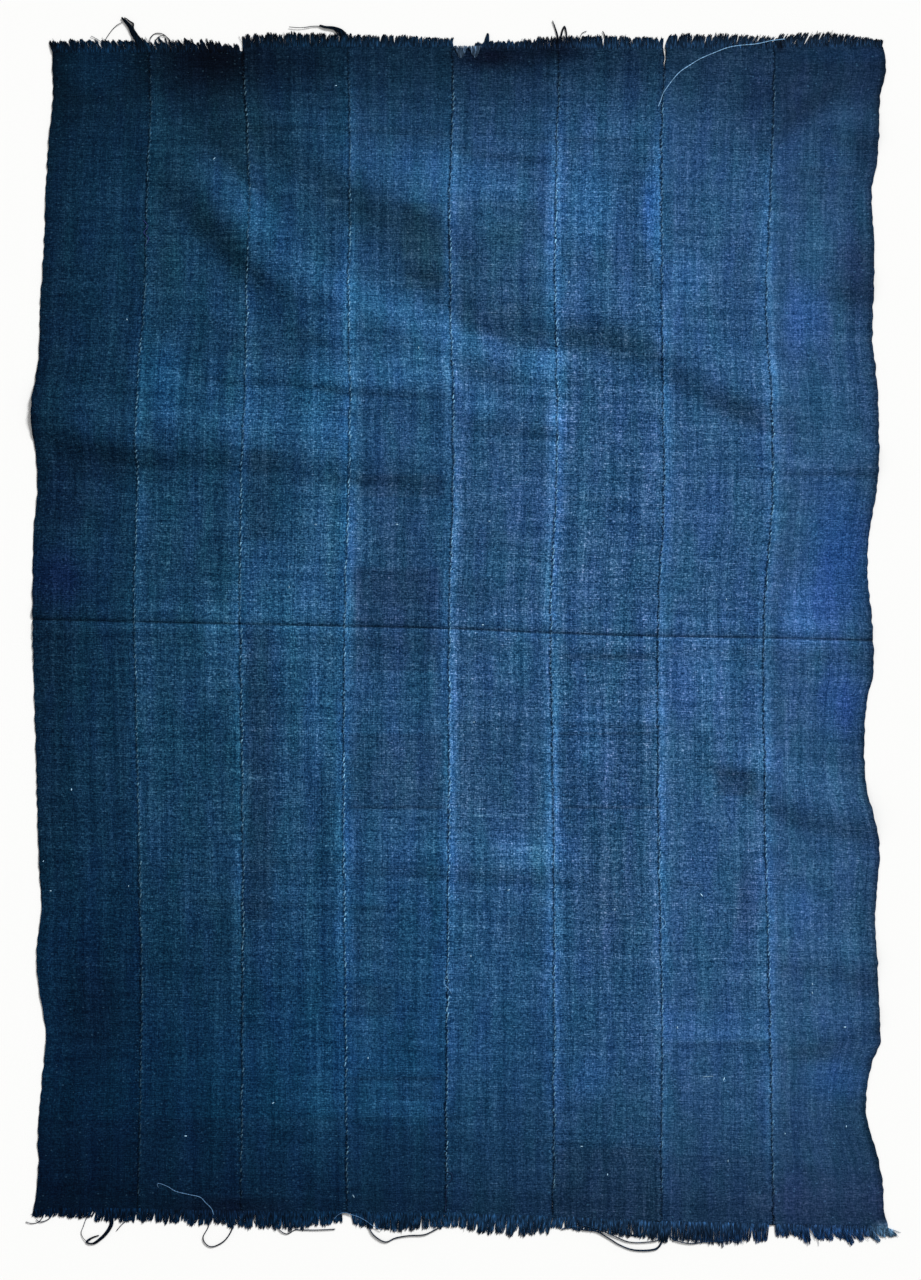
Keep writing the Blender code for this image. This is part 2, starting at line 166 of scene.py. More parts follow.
sheetSizes = {
    "thickness": 1.0,
    "rest": 0.5,             # the underside's mean height: the weave lies loosely on the surface
    "lowest": 0.06,
    "rippleMean": 0.385,     # long soft waves of unironed cotton
    "ripple": 0.275,
    "rippleWaves": (45, 150),  # the shortest and the longest of them
    "rows": {
        "innerEnd": 700,     # past it the rows close up to the woven ends
        "endReach": 30,
        "endRows": 12,
        "perStitch": 3,
        "besideCrease": (0.75, 1.5, 3.4),
    },
    "press": {
        "swell": 1.8,        # the two swells beside the pressed crease
        "reach": 30,
        "depth": 1.0,        # of the pressed line itself, below the swells
        "width": 2.2,
        "paintedCreaseShade": 0.40,    # painted shade in the line: share of the tone it takes away, and its half width there
        "paintedCreaseShadeWidth": 1.7,
    },
    "sewn": {
        "gap": 0.12,
        "openReach": 28,     # over which an open seam end widens
        "wander": 0.45,      # how far the sewing strays from a smooth line
        "wanderWaves": (10, 60),
        "tuck": 0.42,        # how far the sewing draws the selvedges down
        "tuckBetween": 1.3,  # share of it between stitches, and how much less a stitch leaves
        "tuckEased": 0.4,
        "tuckWidth": 2.4,
        "ridge": 0.22,       # the cloth stands up beside the sewing, between stitches
        "ridgeAt": 3.6,
        "ridgeWidth": 2.2,
        "pucker": 0.45,      # small pleats that fan out from the sewing
        "puckerReach": 13,
        "puckerWaves": (11, 34),
        "puckerSlant": 0.35,
    },
    "outer": {
        "wander": 0.35,      # how far an outer selvedge strays from a smooth line
        "wanderWaves": (9, 30),
        "drop": 0.45,        # its very edge lies lower, and the cloth inside it flutters
        "flutter": 0.3,
        "flutterReach": 14,
        "flutterWaves": (16, 50),
        "flutterSlant": 0.3,
    },
}
stitchPitch = 6.8

# Where each set of random draws starts, so that every run gives the same cloth
seeds = {
    "ripple": 11, "sides": 40, "pleats": 60, "flutter": 70, "seamBands": 90, "fringes": 500,
    "stitches": 900, "paleStitches": 950, "foldedWarp": 77,
}

# Column spacing across a strip, as distances from each selvedge; the sides get the finest cells
sideDistances = (0, 0.6, 1.4, 2.6, 4.2, 6.5, 10, 16, 24, 33, 43, 54)
sideShares = [distance / stripWidth for distance in sideDistances]
columnShares = np.array(sideShares + [0.5] + [1 - share for share in reversed(sideShares)])


def smoothCurve(points, at):
    # A smooth curve through (place, value) points, straight beyond its ends
    places, values = (np.array(column, float) for column in zip(*sorted(points)))
    last = len(places) - 1
    before = np.maximum(np.arange(last + 1) - 1, 0)
    after = np.minimum(np.arange(last + 1) + 1, last)
    slopes = (values[after] - values[before]) / (places[after] - places[before])
    index = np.clip(np.searchsorted(places, at, side="right") - 1, 0, last - 1)
    span = places[index + 1] - places[index]
    share = (at - places[index]) / span
    t = np.clip(share, 0, 1)
    rise = (values[index + 1] - values[index]) * t * t * (3 - 2 * t)
    bend = slopes[index] * span * t * (1 - t) ** 2 + slopes[index + 1] * span * t * t * (t - 1)
    outside = (share - t) * span * np.where(share > 1, slopes[index + 1], slopes[index])
    return values[index] + rise + bend + outside


def smoothPath(points, steps=8):
    # A line of points of any size, bent smoothly through every one of them
    points = [np.array(point, float) for point in points]
    path = []
    for index in range(len(points) - 1):
        here, there = points[index], points[index + 1]
        pull = (there - points[max(index - 1, 0)]) / 2
        push = (points[min(index + 2, len(points) - 1)] - here) / 2
        for step in range(steps):
            t = step / steps
            bend = pull * t * (1 - t) ** 2 + push * t * t * (t - 1)
            path.append(here + (there - here) * t * t * (3 - 2 * t) + bend)
    path.append(points[-1])
    return np.array(path)


def waves(x, y, lengths, seed):
    # An uneven field of about unit depth, the sum of waves that run in every direction
    rng = np.random.default_rng(seed)
    count = 26
    shortest, longest = lengths
    sizes = shortest * (longest / shortest) ** rng.random(count)
    turns = rng.random(count) * math.tau
    phases = rng.random(count) * math.tau
    total = np.zeros(np.shape(x))
    for size, turn, phase in zip(sizes, turns, phases):
        total += np.sin((x * math.cos(turn) + y * math.sin(turn)) * math.tau / size + phase)
    return total / math.sqrt(count / 2)


def wavesAlong(y, lengths, seed):
    return waves(y, y * 0, lengths, seed)


def foldHeight(fold, x, y):
    # Height that one fold adds: full on its crest, easing to nothing at the foot of each slope
    height = np.zeros(x.shape)
    crest = smoothPath(fold.crest)
    reach = max(fold.upperSlope, fold.lowerSlope)
    near = (x > crest[:, 0].min() - reach) & (x < crest[:, 0].max() + reach)
    near &= (y > crest[:, 1].min() - reach) & (y < crest[:, 1].max() + reach)
    if not near.any():
        return height
    px, py = x[near], y[near]
    best = np.full(px.shape, np.inf)
    top = np.zeros(px.shape)
    side = np.zeros(px.shape)
    for start, end in zip(crest, crest[1:]):
        run = end - start
        length = math.hypot(run[0], run[1])
        t = np.clip(((px - start[0]) * run[0] + (py - start[1]) * run[1]) / length ** 2, 0, 1)
        dx = px - start[0] - run[0] * t
        dy = py - start[1] - run[1] * t
        distance = np.hypot(dx, dy)
        closer = distance < best
        best = np.where(closer, distance, best)
        top = np.where(closer, start[2] + run[2] * t, top)
        turn = (run[0] * dy - run[1] * dx) / (length * np.maximum(distance, 1e-6))
        side = np.where(closer, turn, side)
    slope = fold.lowerSlope + (fold.upperSlope - fold.lowerSlope) * (side + 1) / 2
    height[near] = top * (1 - np.minimum(best / slope, 1) ** 2) ** 2
    return height


def creaseAlong(x):
    return smoothCurve(pressedCrease, x)


def clothHeight(x, y):
    # Underside of the cloth above the surface: its rest height, folds, creases and soft waves
    size = sheetSizes
    press = size["press"]
    height = size["rest"] + sum(foldHeight(fold, x, y) for fold in folds + creases)
    distance = np.abs(y - creaseAlong(x))
    share = np.minimum(distance / press["reach"], 1)
    height += press["swell"] * 27 / 4 * share * (1 - share) ** 2  # full at a third of the reach
    height -= press["depth"] * np.exp(-(distance / press["width"]) ** 2)
    height += size["rippleMean"] + size["ripple"] * waves(x, y, size["rippleWaves"], seeds["ripple"])
    return np.maximum(height, size["lowest"])


def sideLine(side, y):
    # Across position of a strip's side: side 0 is the left selvedge, 8 the right one
    if side in (0, stripCount):
        size = sheetSizes["outer"]
        line = smoothCurve(rightSelvedge if side else leftSelvedge, y)
    else:
        size = sheetSizes["sewn"]
        inside = np.clip(y, -sheetSizes["rows"]["innerEnd"], sheetSizes["rows"]["innerEnd"])
        line = smoothCurve(list(zip(seamStations, seamLines[side - 1])), inside)
    return line + size["wander"] * wavesAlong(y, size["wanderWaves"], seeds["sides"] + side)


def widthAt(number, y):
    return sideLine(number, y) - sideLine(number - 1, y)


def seamGap(side, y):
    # Gap between the strips at a seam, wider where its end stands open
    extra = np.where(y > 0, openSeamsTop.get(side, 0), openSeamsBottom.get(side, 0))
    reach = np.clip((np.abs(y) - sheetSizes["rows"]["innerEnd"]) / sheetSizes["sewn"]["openReach"], 0, 1)
    return sheetSizes["sewn"]["gap"] + extra * reach


def stripEnd(number, share, top):
    # Along position of a strip's woven end at a share of its width
    ends = stripEnds[number - 1]
    left, right = (ends.topLeft, ends.topRight) if top else (ends.bottomLeft, ends.bottomRight)
    return left + (right - left) * share


def acrossAt(number, share, y):
    left = sideLine(number - 1, y) + seamGap(number - 1, y) / 2
    right = sideLine(number, y) - seamGap(number, y) / 2
    return left + (right - left) * share


def alongAt(number, share, station):
    # Along position of a row: the rows bend with the pressed crease and close up at the ends
    inner = sheetSizes["rows"]["innerEnd"]
    inside = np.clip(station, -inner, inner)
    bent = inside + creaseAlong(acrossAt(number, share, inside)) * (1 - np.abs(inside) / inner)
    end = np.where(station > 0, stripEnd(number, share, True), stripEnd(number, share, False))
    beyond = np.clip((np.abs(station) - inner) / sheetSizes["rows"]["endReach"], 0, 1)
    return bent + (end - np.sign(station) * inner) * beyond


def rowStations():
    # Rows keep step with the stitches, with extra ones close to the pressed crease
    size = sheetSizes["rows"]
    rows = np.arange(0, size["innerEnd"], stitchPitch / size["perStitch"])
    extra = np.array(size["besideCrease"])
    ends = size["innerEnd"] + np.linspace(0, size["endReach"], size["endRows"])
    return np.sort(np.concatenate([rows, -rows[1:], extra, -extra, ends, -ends]))[::-1]


def stitchPull(station):
    return 0.5 + 0.5 * np.cos(station / stitchPitch * math.tau)  # 1 where a stitch pulls


def sheetHeight(number, share, x, y, station):
    # Underside of one strip, with its selvedges drawn down where they are sewn
    sewn, outer = sheetSizes["sewn"], sheetSizes["outer"]
    width = widthAt(number, y)
    height = clothHeight(x, y)
    stitch = stitchPull(station)
    for side, distance in ((number - 1, share * width), (number, (1 - share) * width)):
        edge = np.clip(1 - distance / sewn["tuckWidth"], 0, 1) ** 2
        if side in (0, stripCount):
            flutter = waves(x * outer["flutterSlant"], y, outer["flutterWaves"], seeds["flutter"] + side)
            height -= outer["drop"] * edge
            height += outer["flutter"] * np.exp(-distance / outer["flutterReach"]) * flutter
            continue
        height -= sewn["tuck"] * edge * (sewn["tuckBetween"] - sewn["tuckEased"] * stitch)
        beside = np.exp(-((distance - sewn["ridgeAt"]) / sewn["ridgeWidth"]) ** 2)
        height += sewn["ridge"] * beside * (1 - stitch)
        seed = seeds["pleats"] + side * 2 + (side == number)
        pleats = waves(x * sewn["puckerSlant"], y, sewn["puckerWaves"], seed)
        height += sewn["pucker"] * np.exp(-distance / sewn["puckerReach"]) * pleats * (1 - edge)
    return np.maximum(height, sheetSizes["lowest"])


print("folds: %d large, %d small" % (len(folds), len(creases)))


# Colours, as sRGB hex values turned to linear

def linear(hexColour):
    channels = [int(hexColour[i:i + 2], 16) / 255 for i in (0, 2, 4)]
    return np.array([c / 12.92 if c <= 0.04045 else ((c + 0.055) / 1.055) ** 2.4 for c in channels])


# Indigo of each strip from the left: the first ones are darkest, partly from deeper dye and partly as
# painted shade where the light falls off to the left
stripTones = ("0c2941", "143651", "183b5a", "1f4365", "25486c", "264a6f", "294d73", "2a4c71")

# How much of its full tone the cloth keeps along its length: both ends are darker, partly from more dye
# and partly as painted shade where the light falls off
endDyeAndShade = (
    (768, 0.62), (735, 0.58), (697, 0.65), (634, 0.87), (572, 0.98), (420, 1.0), (-300, 1.0),
    (-486, 0.97), (-548, 0.94), (-611, 0.85), (-673, 0.77), (-715, 0.68), (-765, 0.65),
)

# Soft patches of colour: uneven dyeing, and on some the painted shade and painted light of folds and
# edges.
# Each has its middle, half width, half length, colour and strength, and for some how far it is turned from
# straight, in degrees
DyeAndShadePatch = namedtuple(
    "DyeAndShadePatch", "name across along halfWidth halfLength colour strength turn", defaults=(0,))
dyeAndShadePatches = [DyeAndShadePatch(*row) for row in (
    # Painted shade over deeper dye: the lower left darkens where the light falls off
    ("lower left, dipped longest", -540, -790, 900, 640, "021a34", 0.75),
    ("bottom, greener blue", -120, -600, 420, 250, "083c62", 0.38),
    ("below the left fold, greener blue", 0, -410, 330, 230, "02406a", 0.20),
    ("bottom edge, strips two and three", -290, -714, 110, 24, "0a1228", 0.62),
    ("strip three, deep top", -200, 706, 74, 40, "0a2238", 0.55),
    ("strip five, deep right of the top", 86, 706, 36, 28, "12304c", 0.30),
    ("strips six to eight, paler top", 360, 704, 200, 34, "3a6496", 0.22),
    ("strip one, blue top", -455, 712, 66, 52, "1a4a76", 0.42),
    ("deep top of strip two", -308, 716, 118, 84, "04081a", 0.90),
    # Painted shadow of the folded-back warp over darker dye at the top of strip five
    ("deep top of strip five", 38, 720, 82, 28, "080a26", 0.85),
    # Dark teal on the shaded flanks of the folds: teal dye, darkened with painted shade
    ("teal along the second diagonal", -96, 508, 225, 54, "152f3f", 0.60, -32),
    ("teal over the long fold", -258, 618, 84, 96, "122e42", 0.70),
    ("strip two, left of the fold", -374, 498, 42, 150, "0f2c3e", 0.56),
    ("strip two, high", -322, 600, 88, 130, "0e273a", 0.62),
    ("teal below the long fold", -302, 492, 108, 34, "0a2230", 0.62, -47),
    ("teal at the long fold's foot", -233, 350, 100, 62, "17344c", 0.30),
    # Brighter blue on the lit flanks of the folds: blue dye, lightened with painted light
    ("blue between the diagonals", -268, 530, 124, 32, "275a8a", 0.20, -45),
    ("blue past the long fold", -70, 398, 200, 34, "33699c", 0.40, -24),
    ("blue above the second diagonal", 0, 572, 140, 34, "33689c", 0.35, -16),
    ("blue above the left fold", -262, 290, 160, 72, "2e6898", 0.16),
    ("strip two, blue left half", -372, 318, 40, 70, "1d5788", 0.30),
    ("strip three, blue right half", -172, 290, 40, 130, "2e6898", 0.30),
    ("strips two and three, middle", -222, 28, 96, 130, "34709e", 0.18),
    ("strip three, above the low line", -176, -95, 40, 100, "34709e", 0.18),
    ("strip five, blue left half", 22, 290, 36, 40, "3a74a8", 0.22),
    ("strip five, below the crease", 72, -22, 52, 60, "3a6a98", 0.24),
    ("strip seven, blue left half", 280, 444, 38, 50, "4a82c4", 0.26),
    ("strip seven, below the crease", 302, -46, 66, 84, "4472b4", 0.19),
    ("strip eight, blue left half", 424, 398, 40, 66, "3465b4", 0.24),
    ("strip eight, blue middle", 424, 26, 42, 66, "3a6ec8", 0.22),
    ("strip eight, blue foot", 418, -338, 36, 44, "3a66a8", 0.26),
    ("strip six, above the low line", 160, -140, 40, 60, "3a70ae", 0.24),
    ("strip six, low left", 158, -552, 38, 40, "3a6eac", 0.26),
    ("strip three, low right", -172, -600, 44, 96, "2c6290", 0.26),
    ("strip four, low blue", -72, -584, 66, 60, "2c6292", 0.22),
    ("strip seven, low right", 346, -600, 40, 34, "3a6496", 0.24),
    ("strips seven and eight, foot", 430, -706, 140, 28, "42608e", 0.26),
    ("blue below the second diagonal", -60, 334, 110, 44, "35709f", 0.26),
    ("strip six, blue left half", 158, 536, 52, 84, "3672ac", 0.34),
    ("strip eight, high", 452, 566, 78, 84, "172c44", 0.34),
    # Painted shade on the shaded flanks of the wandering fold, over teal dye
    ("strip five, beside seam five", 57, 497, 40, 28, "1a3648", 0.45),
    ("strip five, below the fold", 62, 400, 36, 22, "1a3648", 0.45),
    ("wandering fold, teal", 172, 364, 110, 34, "15303c", 0.45, -8),
    ("wandering fold, right", 346, 278, 66, 28, "1a2e44", 0.45, -24),
    # Painted shade on the shaded flank below the left fold
    ("left fold, dark", -462, 216, 136, 38, "06182a", 0.66, -4),
    ("left margin, dark", -490, 168, 76, 66, "091c32", 0.55),
    ("left margin, low", -505, -14, 56, 120, "081c30", 0.45),
    # Painted shadow under the end of the left fold
    ("under the left fold's end", -150, 190, 120, 16, "1a3346", 0.35),
    ("strips one to three, low", -430, -436, 270, 250, "042038", 0.52),
    ("left margin, navy", -500, 72, 62, 62, "08183a", 0.76),
    ("strip one, low", -458, -462, 76, 130, "05172c", 0.74),
    ("strip two, below the crease", -307, 6, 30, 42, "33688c", 0.30),
    ("strip two, right half", -305, -10, 38, 120, "2a5a7c", 0.30),
    ("strip three, left side", -252, -190, 32, 330, "102e48", 0.42),
    ("strip three, right side", -176, 138, 34, 130, "2d5f85", 0.30),
    ("strip four, weaker cone of yarn", -80, 111, 66, 215, "233c5a", 0.40),
    ("strip four, low", -90, -430, 66, 130, "1c3853", 0.15),
    ("blue beside seam five", 96, 326, 46, 44, "3f7db0", 0.40),
    ("strip five, above the step", 82, -276, 62, 40, "3d7199", 0.40),
    ("strip six, low", 182, -326, 68, 140, "24405f", 0.60),
    ("right margin, vivid", 466, 93, 58, 140, "1a4382", 0.58),
    ("right margin, vivid low", 470, -81, 44, 70, "1b3f82", 0.45),
    ("right margin, dark", 492, 450, 48, 92, "142036", 0.62),
    ("strips five to seven, paler top", 178, 650, 150, 76, "37689a", 0.28),
    ("dark top of seam five", 116, 734, 60, 34, "0a0f24", 0.75),
    # Painted shadow where the strips overlap at the top of seam seven
    ("dark top of seam seven", 396, 733, 9, 12, "05070f", 0.90),
    ("top right, violet", 421, 682, 115, 60, "22294f", 0.28),
    ("top right corner, blue", 470, 722, 100, 16, "2c588c", 0.50),
    # Painted shade on the shaded flank of the corner turn and at the top of the right edge
    ("top right, across the corner turn", 415, 640, 96, 24, "16293f", 0.40, 40),
    ("right edge, high", 500, 600, 28, 66, "10203a", 0.50),
    ("right edge, low", 500, -438, 34, 24, "152a44", 0.45),
    ("right margin, vivid foot", 464, -556, 60, 36, "24508c", 0.40),
    # Painted shade on the shaded side of the low right fold
    ("low right fold, dark side", 444, -519, 78, 18, "1a3048", 0.45, 8),
    ("strip seven, dark top", 372, 640, 80, 60, "1f3554", 0.40, 20),
    ("strip seven, upper streak", 349, 454, 19, 100, "27446a", 0.40),
    ("strip seven, lower streak", 352, -330, 26, 84, "20395c", 0.68),
    ("beside seam six, vivid", 235, 528, 16, 76, "2a62a8", 0.45),
    ("bottom right, violet", 452, -704, 110, 58, "354a78", 0.62),
    ("bottom fringe, bright", 440, -756, 190, 24, "2f66ac", 0.85),
    ("bottom right, faded flare", 530, -747, 30, 22, "7fb4e0", 0.95),
    ("top right fringe, grey", 400, 752, 190, 20, "384a60", 0.70),
)]

# Lengths woven with another cone of yarn, and single stray picks: the strip, where each begins and
# ends along it, its sides as shares of the strip's width, colour and strength
YarnBlock = namedtuple("YarnBlock", "strip top bottom left right colour strength")
yarnBlocks = [YarnBlock(*row) for row in (
    (1, -604, -760, 0.0, 1.0, "06152e", 0.28),
    (2, 130, 74, 0.12, 0.85, "12304a", 0.35),
    (2, -602, -760, 0.0, 1.0, "0a1a34", 0.28),
    (3, 230, 118, 0.05, 0.34, "122a3e", 0.40),
    (3, 11, -285, 0.05, 0.33, "132940", 0.45),
    (3, -178, -180.5, 0.03, 0.28, "4a7ea6", 0.24),
    (3, -285, -355, 0.03, 0.30, "101f34", 0.35),
    (3, -602, -760, 0.0, 1.0, "0c1f38", 0.26),
    (4, 535, 430, 0.55, 0.95, "16303f", 0.34),
    (4, 199, 171, 0.10, 0.92, "1c334c", 0.40),
    (4, 168, 90, 0.14, 0.17, "3a72a2", 0.30),
    (4, 84, -46, 0.08, 0.92, "1c3452", 0.42),
    (4, 80, 14, 0.10, 0.90, "182c46", 0.26),
    (4, -123, -216, 0.06, 0.95, "1e3550", 0.34),
    (4, -213.5, -217, 0.05, 0.95, "0b1a2c", 0.46),
    (4, -337, -405, 0.10, 0.40, "18324c", 0.30),
    (4, -436, -474, 0.05, 0.45, "152e48", 0.40),
    (4, -550.5, -554, 0.05, 0.95, "0d2036", 0.50),
    (4, -552, -580, 0.45, 0.90, "122c46", 0.26),
    (4, -610, -760, 0.0, 1.0, "0e223c", 0.26),
    (5, 540, 372, 0.10, 0.86, "1b3850", 0.26),
    (5, 130, 105, 0.08, 0.60, "22405e", 0.32),
    (5, 70, 20, 0.05, 0.40, "203c5a", 0.32),
    (5, -106, -160, 0.08, 0.72, "203c5a", 0.34),
    (5, -160, -216, 0.06, 0.60, "22405e", 0.25),
    (5, -224, -226.5, 0.20, 0.70, "5c90ba", 0.26),
    (5, -350, -381, 0.50, 0.85, "1f3b5c", 0.38),
    (6, -24, -32, 0.10, 0.90, "1c3450", 0.38),
    (6, -123, -216, 0.05, 0.97, "203c5c", 0.32),
    (6, -121, -124.5, 0.05, 0.97, "12243a", 0.50),
    (6, -213.5, -217, 0.10, 0.97, "12243a", 0.55),
    (6, -639, -770, 0.0, 1.0, "1d3048", 0.34),
    (7, 130, 80, 0.58, 0.75, "22406a", 0.42),
    (7, -170, -200, 0.55, 0.92, "1a3048", 0.42),
    (7, -468, -505, 0.0, 1.0, "3568a0", 0.15),
    (7, -503.5, -506.5, 0.10, 0.95, "5a8cba", 0.22),
    (7, -648, -770, 0.0, 1.0, "20355a", 0.22),
)]
blockEdges = (2.4, 0.06)     # how soft their ends are in millimetres, and their sides as a share

# Look of each seam from the top end to the bottom end: along position, how far the selvedges part
# and how pale the stitches are, both out of 1, and how much lighter the imported warp makes the
# band on its left and the band on its right. The parting is drawn as painted shade in the gap
SeamLook = namedtuple("SeamLook", "along parting stitches leftBand rightBand")
seamLooks = (
    ((728, 0.5, 0.05, 0.02, 0.02), (616, 0.35, 0.18, 0.05, 0.05), (504, 0.6, 0.22, 0.05, 0.04),
     (379, 0.15, 0.34, 0.06, 0.10), (292, 0.15, 0.62, 0.12, 0.22), (230, 0.2, 0.52, 0.12, 0.14),
     (93, 0.15, 0.45, 0.08, 0.12), (-30, 0.2, 0.47, 0.10, 0.02), (-243, 0.2, 0.42, 0.12, 0.02),
     (-331, 0.45, 0.32, 0.06, 0.0), (-455, 0.5, 0.2, 0.0, 0.02), (-704, 0.35, 0.08, 0.0, 0.02)),
    ((728, 0.9, 0.1, 0.0, 0.04), (640, 0.75, 0.36, 0.04, 0.08), (541, 0.25, 0.36, 0.04, 0.04),
     (466, 0.2, 0.56, 0.06, 0.06), (354, 0.2, 0.64, 0.08, 0.10), (267, 0.25, 0.46, 0.12, 0.12),
     (142, 0.4, 0.8, 0.10, 0.10), (43, 0.6, 0.58, 0.16, 0.10), (-60, 0.6, 0.62, 0.20, 0.06),
     (-206, 0.6, 0.58, 0.16, 0.04), (-331, 0.75, 0.5, 0.22, 0.0), (-455, 0.8, 0.3, 0.06, 0.02),
     (-604, 0.35, 0.22, 0.04, 0.04), (-704, 0.45, 0.14, 0.0, 0.0)),
    ((728, 0.2, 0.1, 0.05, 0.05), (665, 0.15, 0.22, 0.10, 0.14), (541, 0.15, 0.34, 0.12, 0.12),
     (416, 0.35, 0.96, 0.24, 0.22), (317, 0.2, 0.88, 0.22, 0.18), (205, 0.2, 0.92, 0.34, 0.18),
     (93, 0.3, 0.9, 0.26, 0.26), (18, 0.4, 0.66, 0.20, 0.24), (-82, 0.9, 0.6, 0.16, 0.18),
     (-156, 0.7, 0.84, 0.24, 0.20), (-268, 0.35, 0.78, 0.22, 0.32), (-356, 0.4, 0.9, 0.24, 0.28),
     (-455, 0.4, 0.64, 0.14, 0.16), (-555, 0.7, 0.52, 0.24, 0.14), (-642, 0.7, 0.34, 0.12, 0.08),
     (-704, 0.5, 0.2, 0.0, 0.0)),
    ((728, 0.5, 0.1, 0.0, 0.0), (653, 0.8, 0.46, 0.05, 0.05), (591, 0.95, 0.4, 0.14, 0.20),
     (479, 0.8, 0.7, 0.16, 0.12), (379, 0.65, 0.96, 0.24, 0.20), (305, 0.75, 1.0, 0.20, 0.12),
     (242, 0.4, 0.48, 0.05, 0.08), (167, 0.75, 0.54, 0.05, 0.20), (68, 0.75, 0.74, 0.10, 0.22),
     (-32, 0.4, 0.8, 0.12, 0.26), (-156, 0.6, 1.0, 0.10, 0.32), (-268, 0.65, 1.0, 0.20, 0.34),
     (-362, 1.0, 0.58, 0.14, 0.20), (-430, 0.85, 0.84, 0.14, 0.16), (-517, 1.0, 0.6, 0.08, 0.10),
     (-642, 1.0, 0.44, 0.10, 0.04), (-704, 1.0, 0.3, 0.02, 0.0)),
    ((728, 0.5, 0.1, 0.0, 0.0), (653, 0.75, 0.25, 0.10, 0.10), (578, 0.4, 0.55, 0.22, 0.22),
     (479, 0.5, 1.0, 0.34, 0.28), (441, 0.9, 0.88, 0.24, 0.24), (354, 0.8, 0.84, 0.24, 0.30),
     (267, 0.6, 1.0, 0.32, 0.34), (205, 0.45, 0.74, 0.24, 0.20), (118, 0.7, 0.94, 0.18, 0.24),
     (43, 0.9, 0.66, 0.18, 0.20), (-45, 1.0, 0.44, 0.16, 0.18), (-120, 1.0, 0.38, 0.16, 0.26),
     (-206, 0.7, 0.34, 0.28, 0.26), (-281, 0.7, 0.5, 0.34, 0.20), (-393, 0.6, 0.84, 0.22, 0.22),
     (-517, 0.6, 0.62, 0.18, 0.22), (-604, 0.7, 0.4, 0.12, 0.10), (-704, 0.8, 0.24, 0.0, 0.0)),
    ((728, 1.0, 0.0, 0.0, 0.0), (665, 0.8, 0.28, 0.10, 0.16), (603, 1.0, 0.42, 0.26, 0.10),
     (541, 0.8, 0.48, 0.34, 0.08), (466, 0.3, 0.5, 0.30, 0.08), (404, 0.6, 0.52, 0.12, 0.12),
     (330, 0.75, 0.5, 0.04, 0.24), (255, 0.8, 0.52, 0.06, 0.28), (167, 1.0, 0.48, 0.06, 0.22),
     (68, 0.85, 0.5, 0.02, 0.16), (-20, 1.0, 0.36, 0.04, 0.20), (-90, 0.9, 0.26, 0.08, 0.20),
     (-180, 0.75, 0.54, 0.02, 0.24), (-268, 0.9, 0.7, 0.08, 0.24), (-345, 0.7, 0.42, 0.06, 0.22),
     (-455, 0.6, 0.58, 0.08, 0.18), (-580, 0.5, 0.36, 0.06, 0.12), (-667, 0.65, 0.28, 0.04, 0.16),
     (-704, 0.6, 0.2, 0.0, 0.04)),
    ((728, 0.4, 0.1, 0.0, 0.0), (665, 0.5, 0.36, 0.04, 0.04), (591, 0.3, 0.32, 0.05, 0.06),
     (516, 0.4, 0.6, 0.20, 0.10), (441, 0.45, 0.46, 0.12, 0.20), (317, 0.8, 0.46, 0.12, 0.26),
     (242, 0.8, 0.84, 0.10, 0.16), (130, 0.95, 0.68, 0.10, 0.20), (30, 0.95, 0.48, 0.08, 0.12),
     (-60, 0.8, 0.34, 0.10, 0.16), (-180, 0.8, 0.36, 0.06, 0.22), (-281, 0.6, 0.84, 0.06, 0.20),
     (-393, 0.6, 0.7, 0.08, 0.26), (-480, 0.9, 0.5, 0.10, 0.22), (-592, 0.8, 0.4, 0.16, 0.14),
     (-655, 0.85, 0.34, 0.10, 0.06), (-704, 0.85, 0.26, 0.04, 0.02)),
)
bandLook = {
    "width": 10.5,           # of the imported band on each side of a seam
    "uneven": 0.14,
    "waves": (30, 200),
}


def seamLook(side, trait, y):
    # One trait of a seam at each place along it; the outer selvedges have no seam
    if side in (0, stripCount):
        return np.zeros(np.shape(y))
    looks = [SeamLook(*row) for row in seamLooks[side - 1]]
    inside = np.clip(y, looks[-1].along, looks[0].along)
    return np.clip(smoothCurve([(look.along, getattr(look, trait)) for look in looks], inside), 0, 1)


# How strongly each strip's weave shows, and how much less it does towards both ends
weaveContrast = (1.0, 1.05, 1.08, 1.0, 1.04, 1.12, 0.98, 0.80)
endContrast = ((760, 0.75), (520, 0.90), (300, 1.0), (-350, 1.0), (-560, 0.85), (-760, 0.75))

# Painted shade: the cloth darkens towards the outer selvedges, where the light falls off; shares of the
# tone lost there, and how far in each reaches
paintedEdgeShade = {0: ((0.18, 42), (0.15, 5)), stripCount: ((0.13, 30), (0.36, 5.5))}

# A share of tone is given as it looks; the light it stands for is that share to this power
toneToLight = 2.2


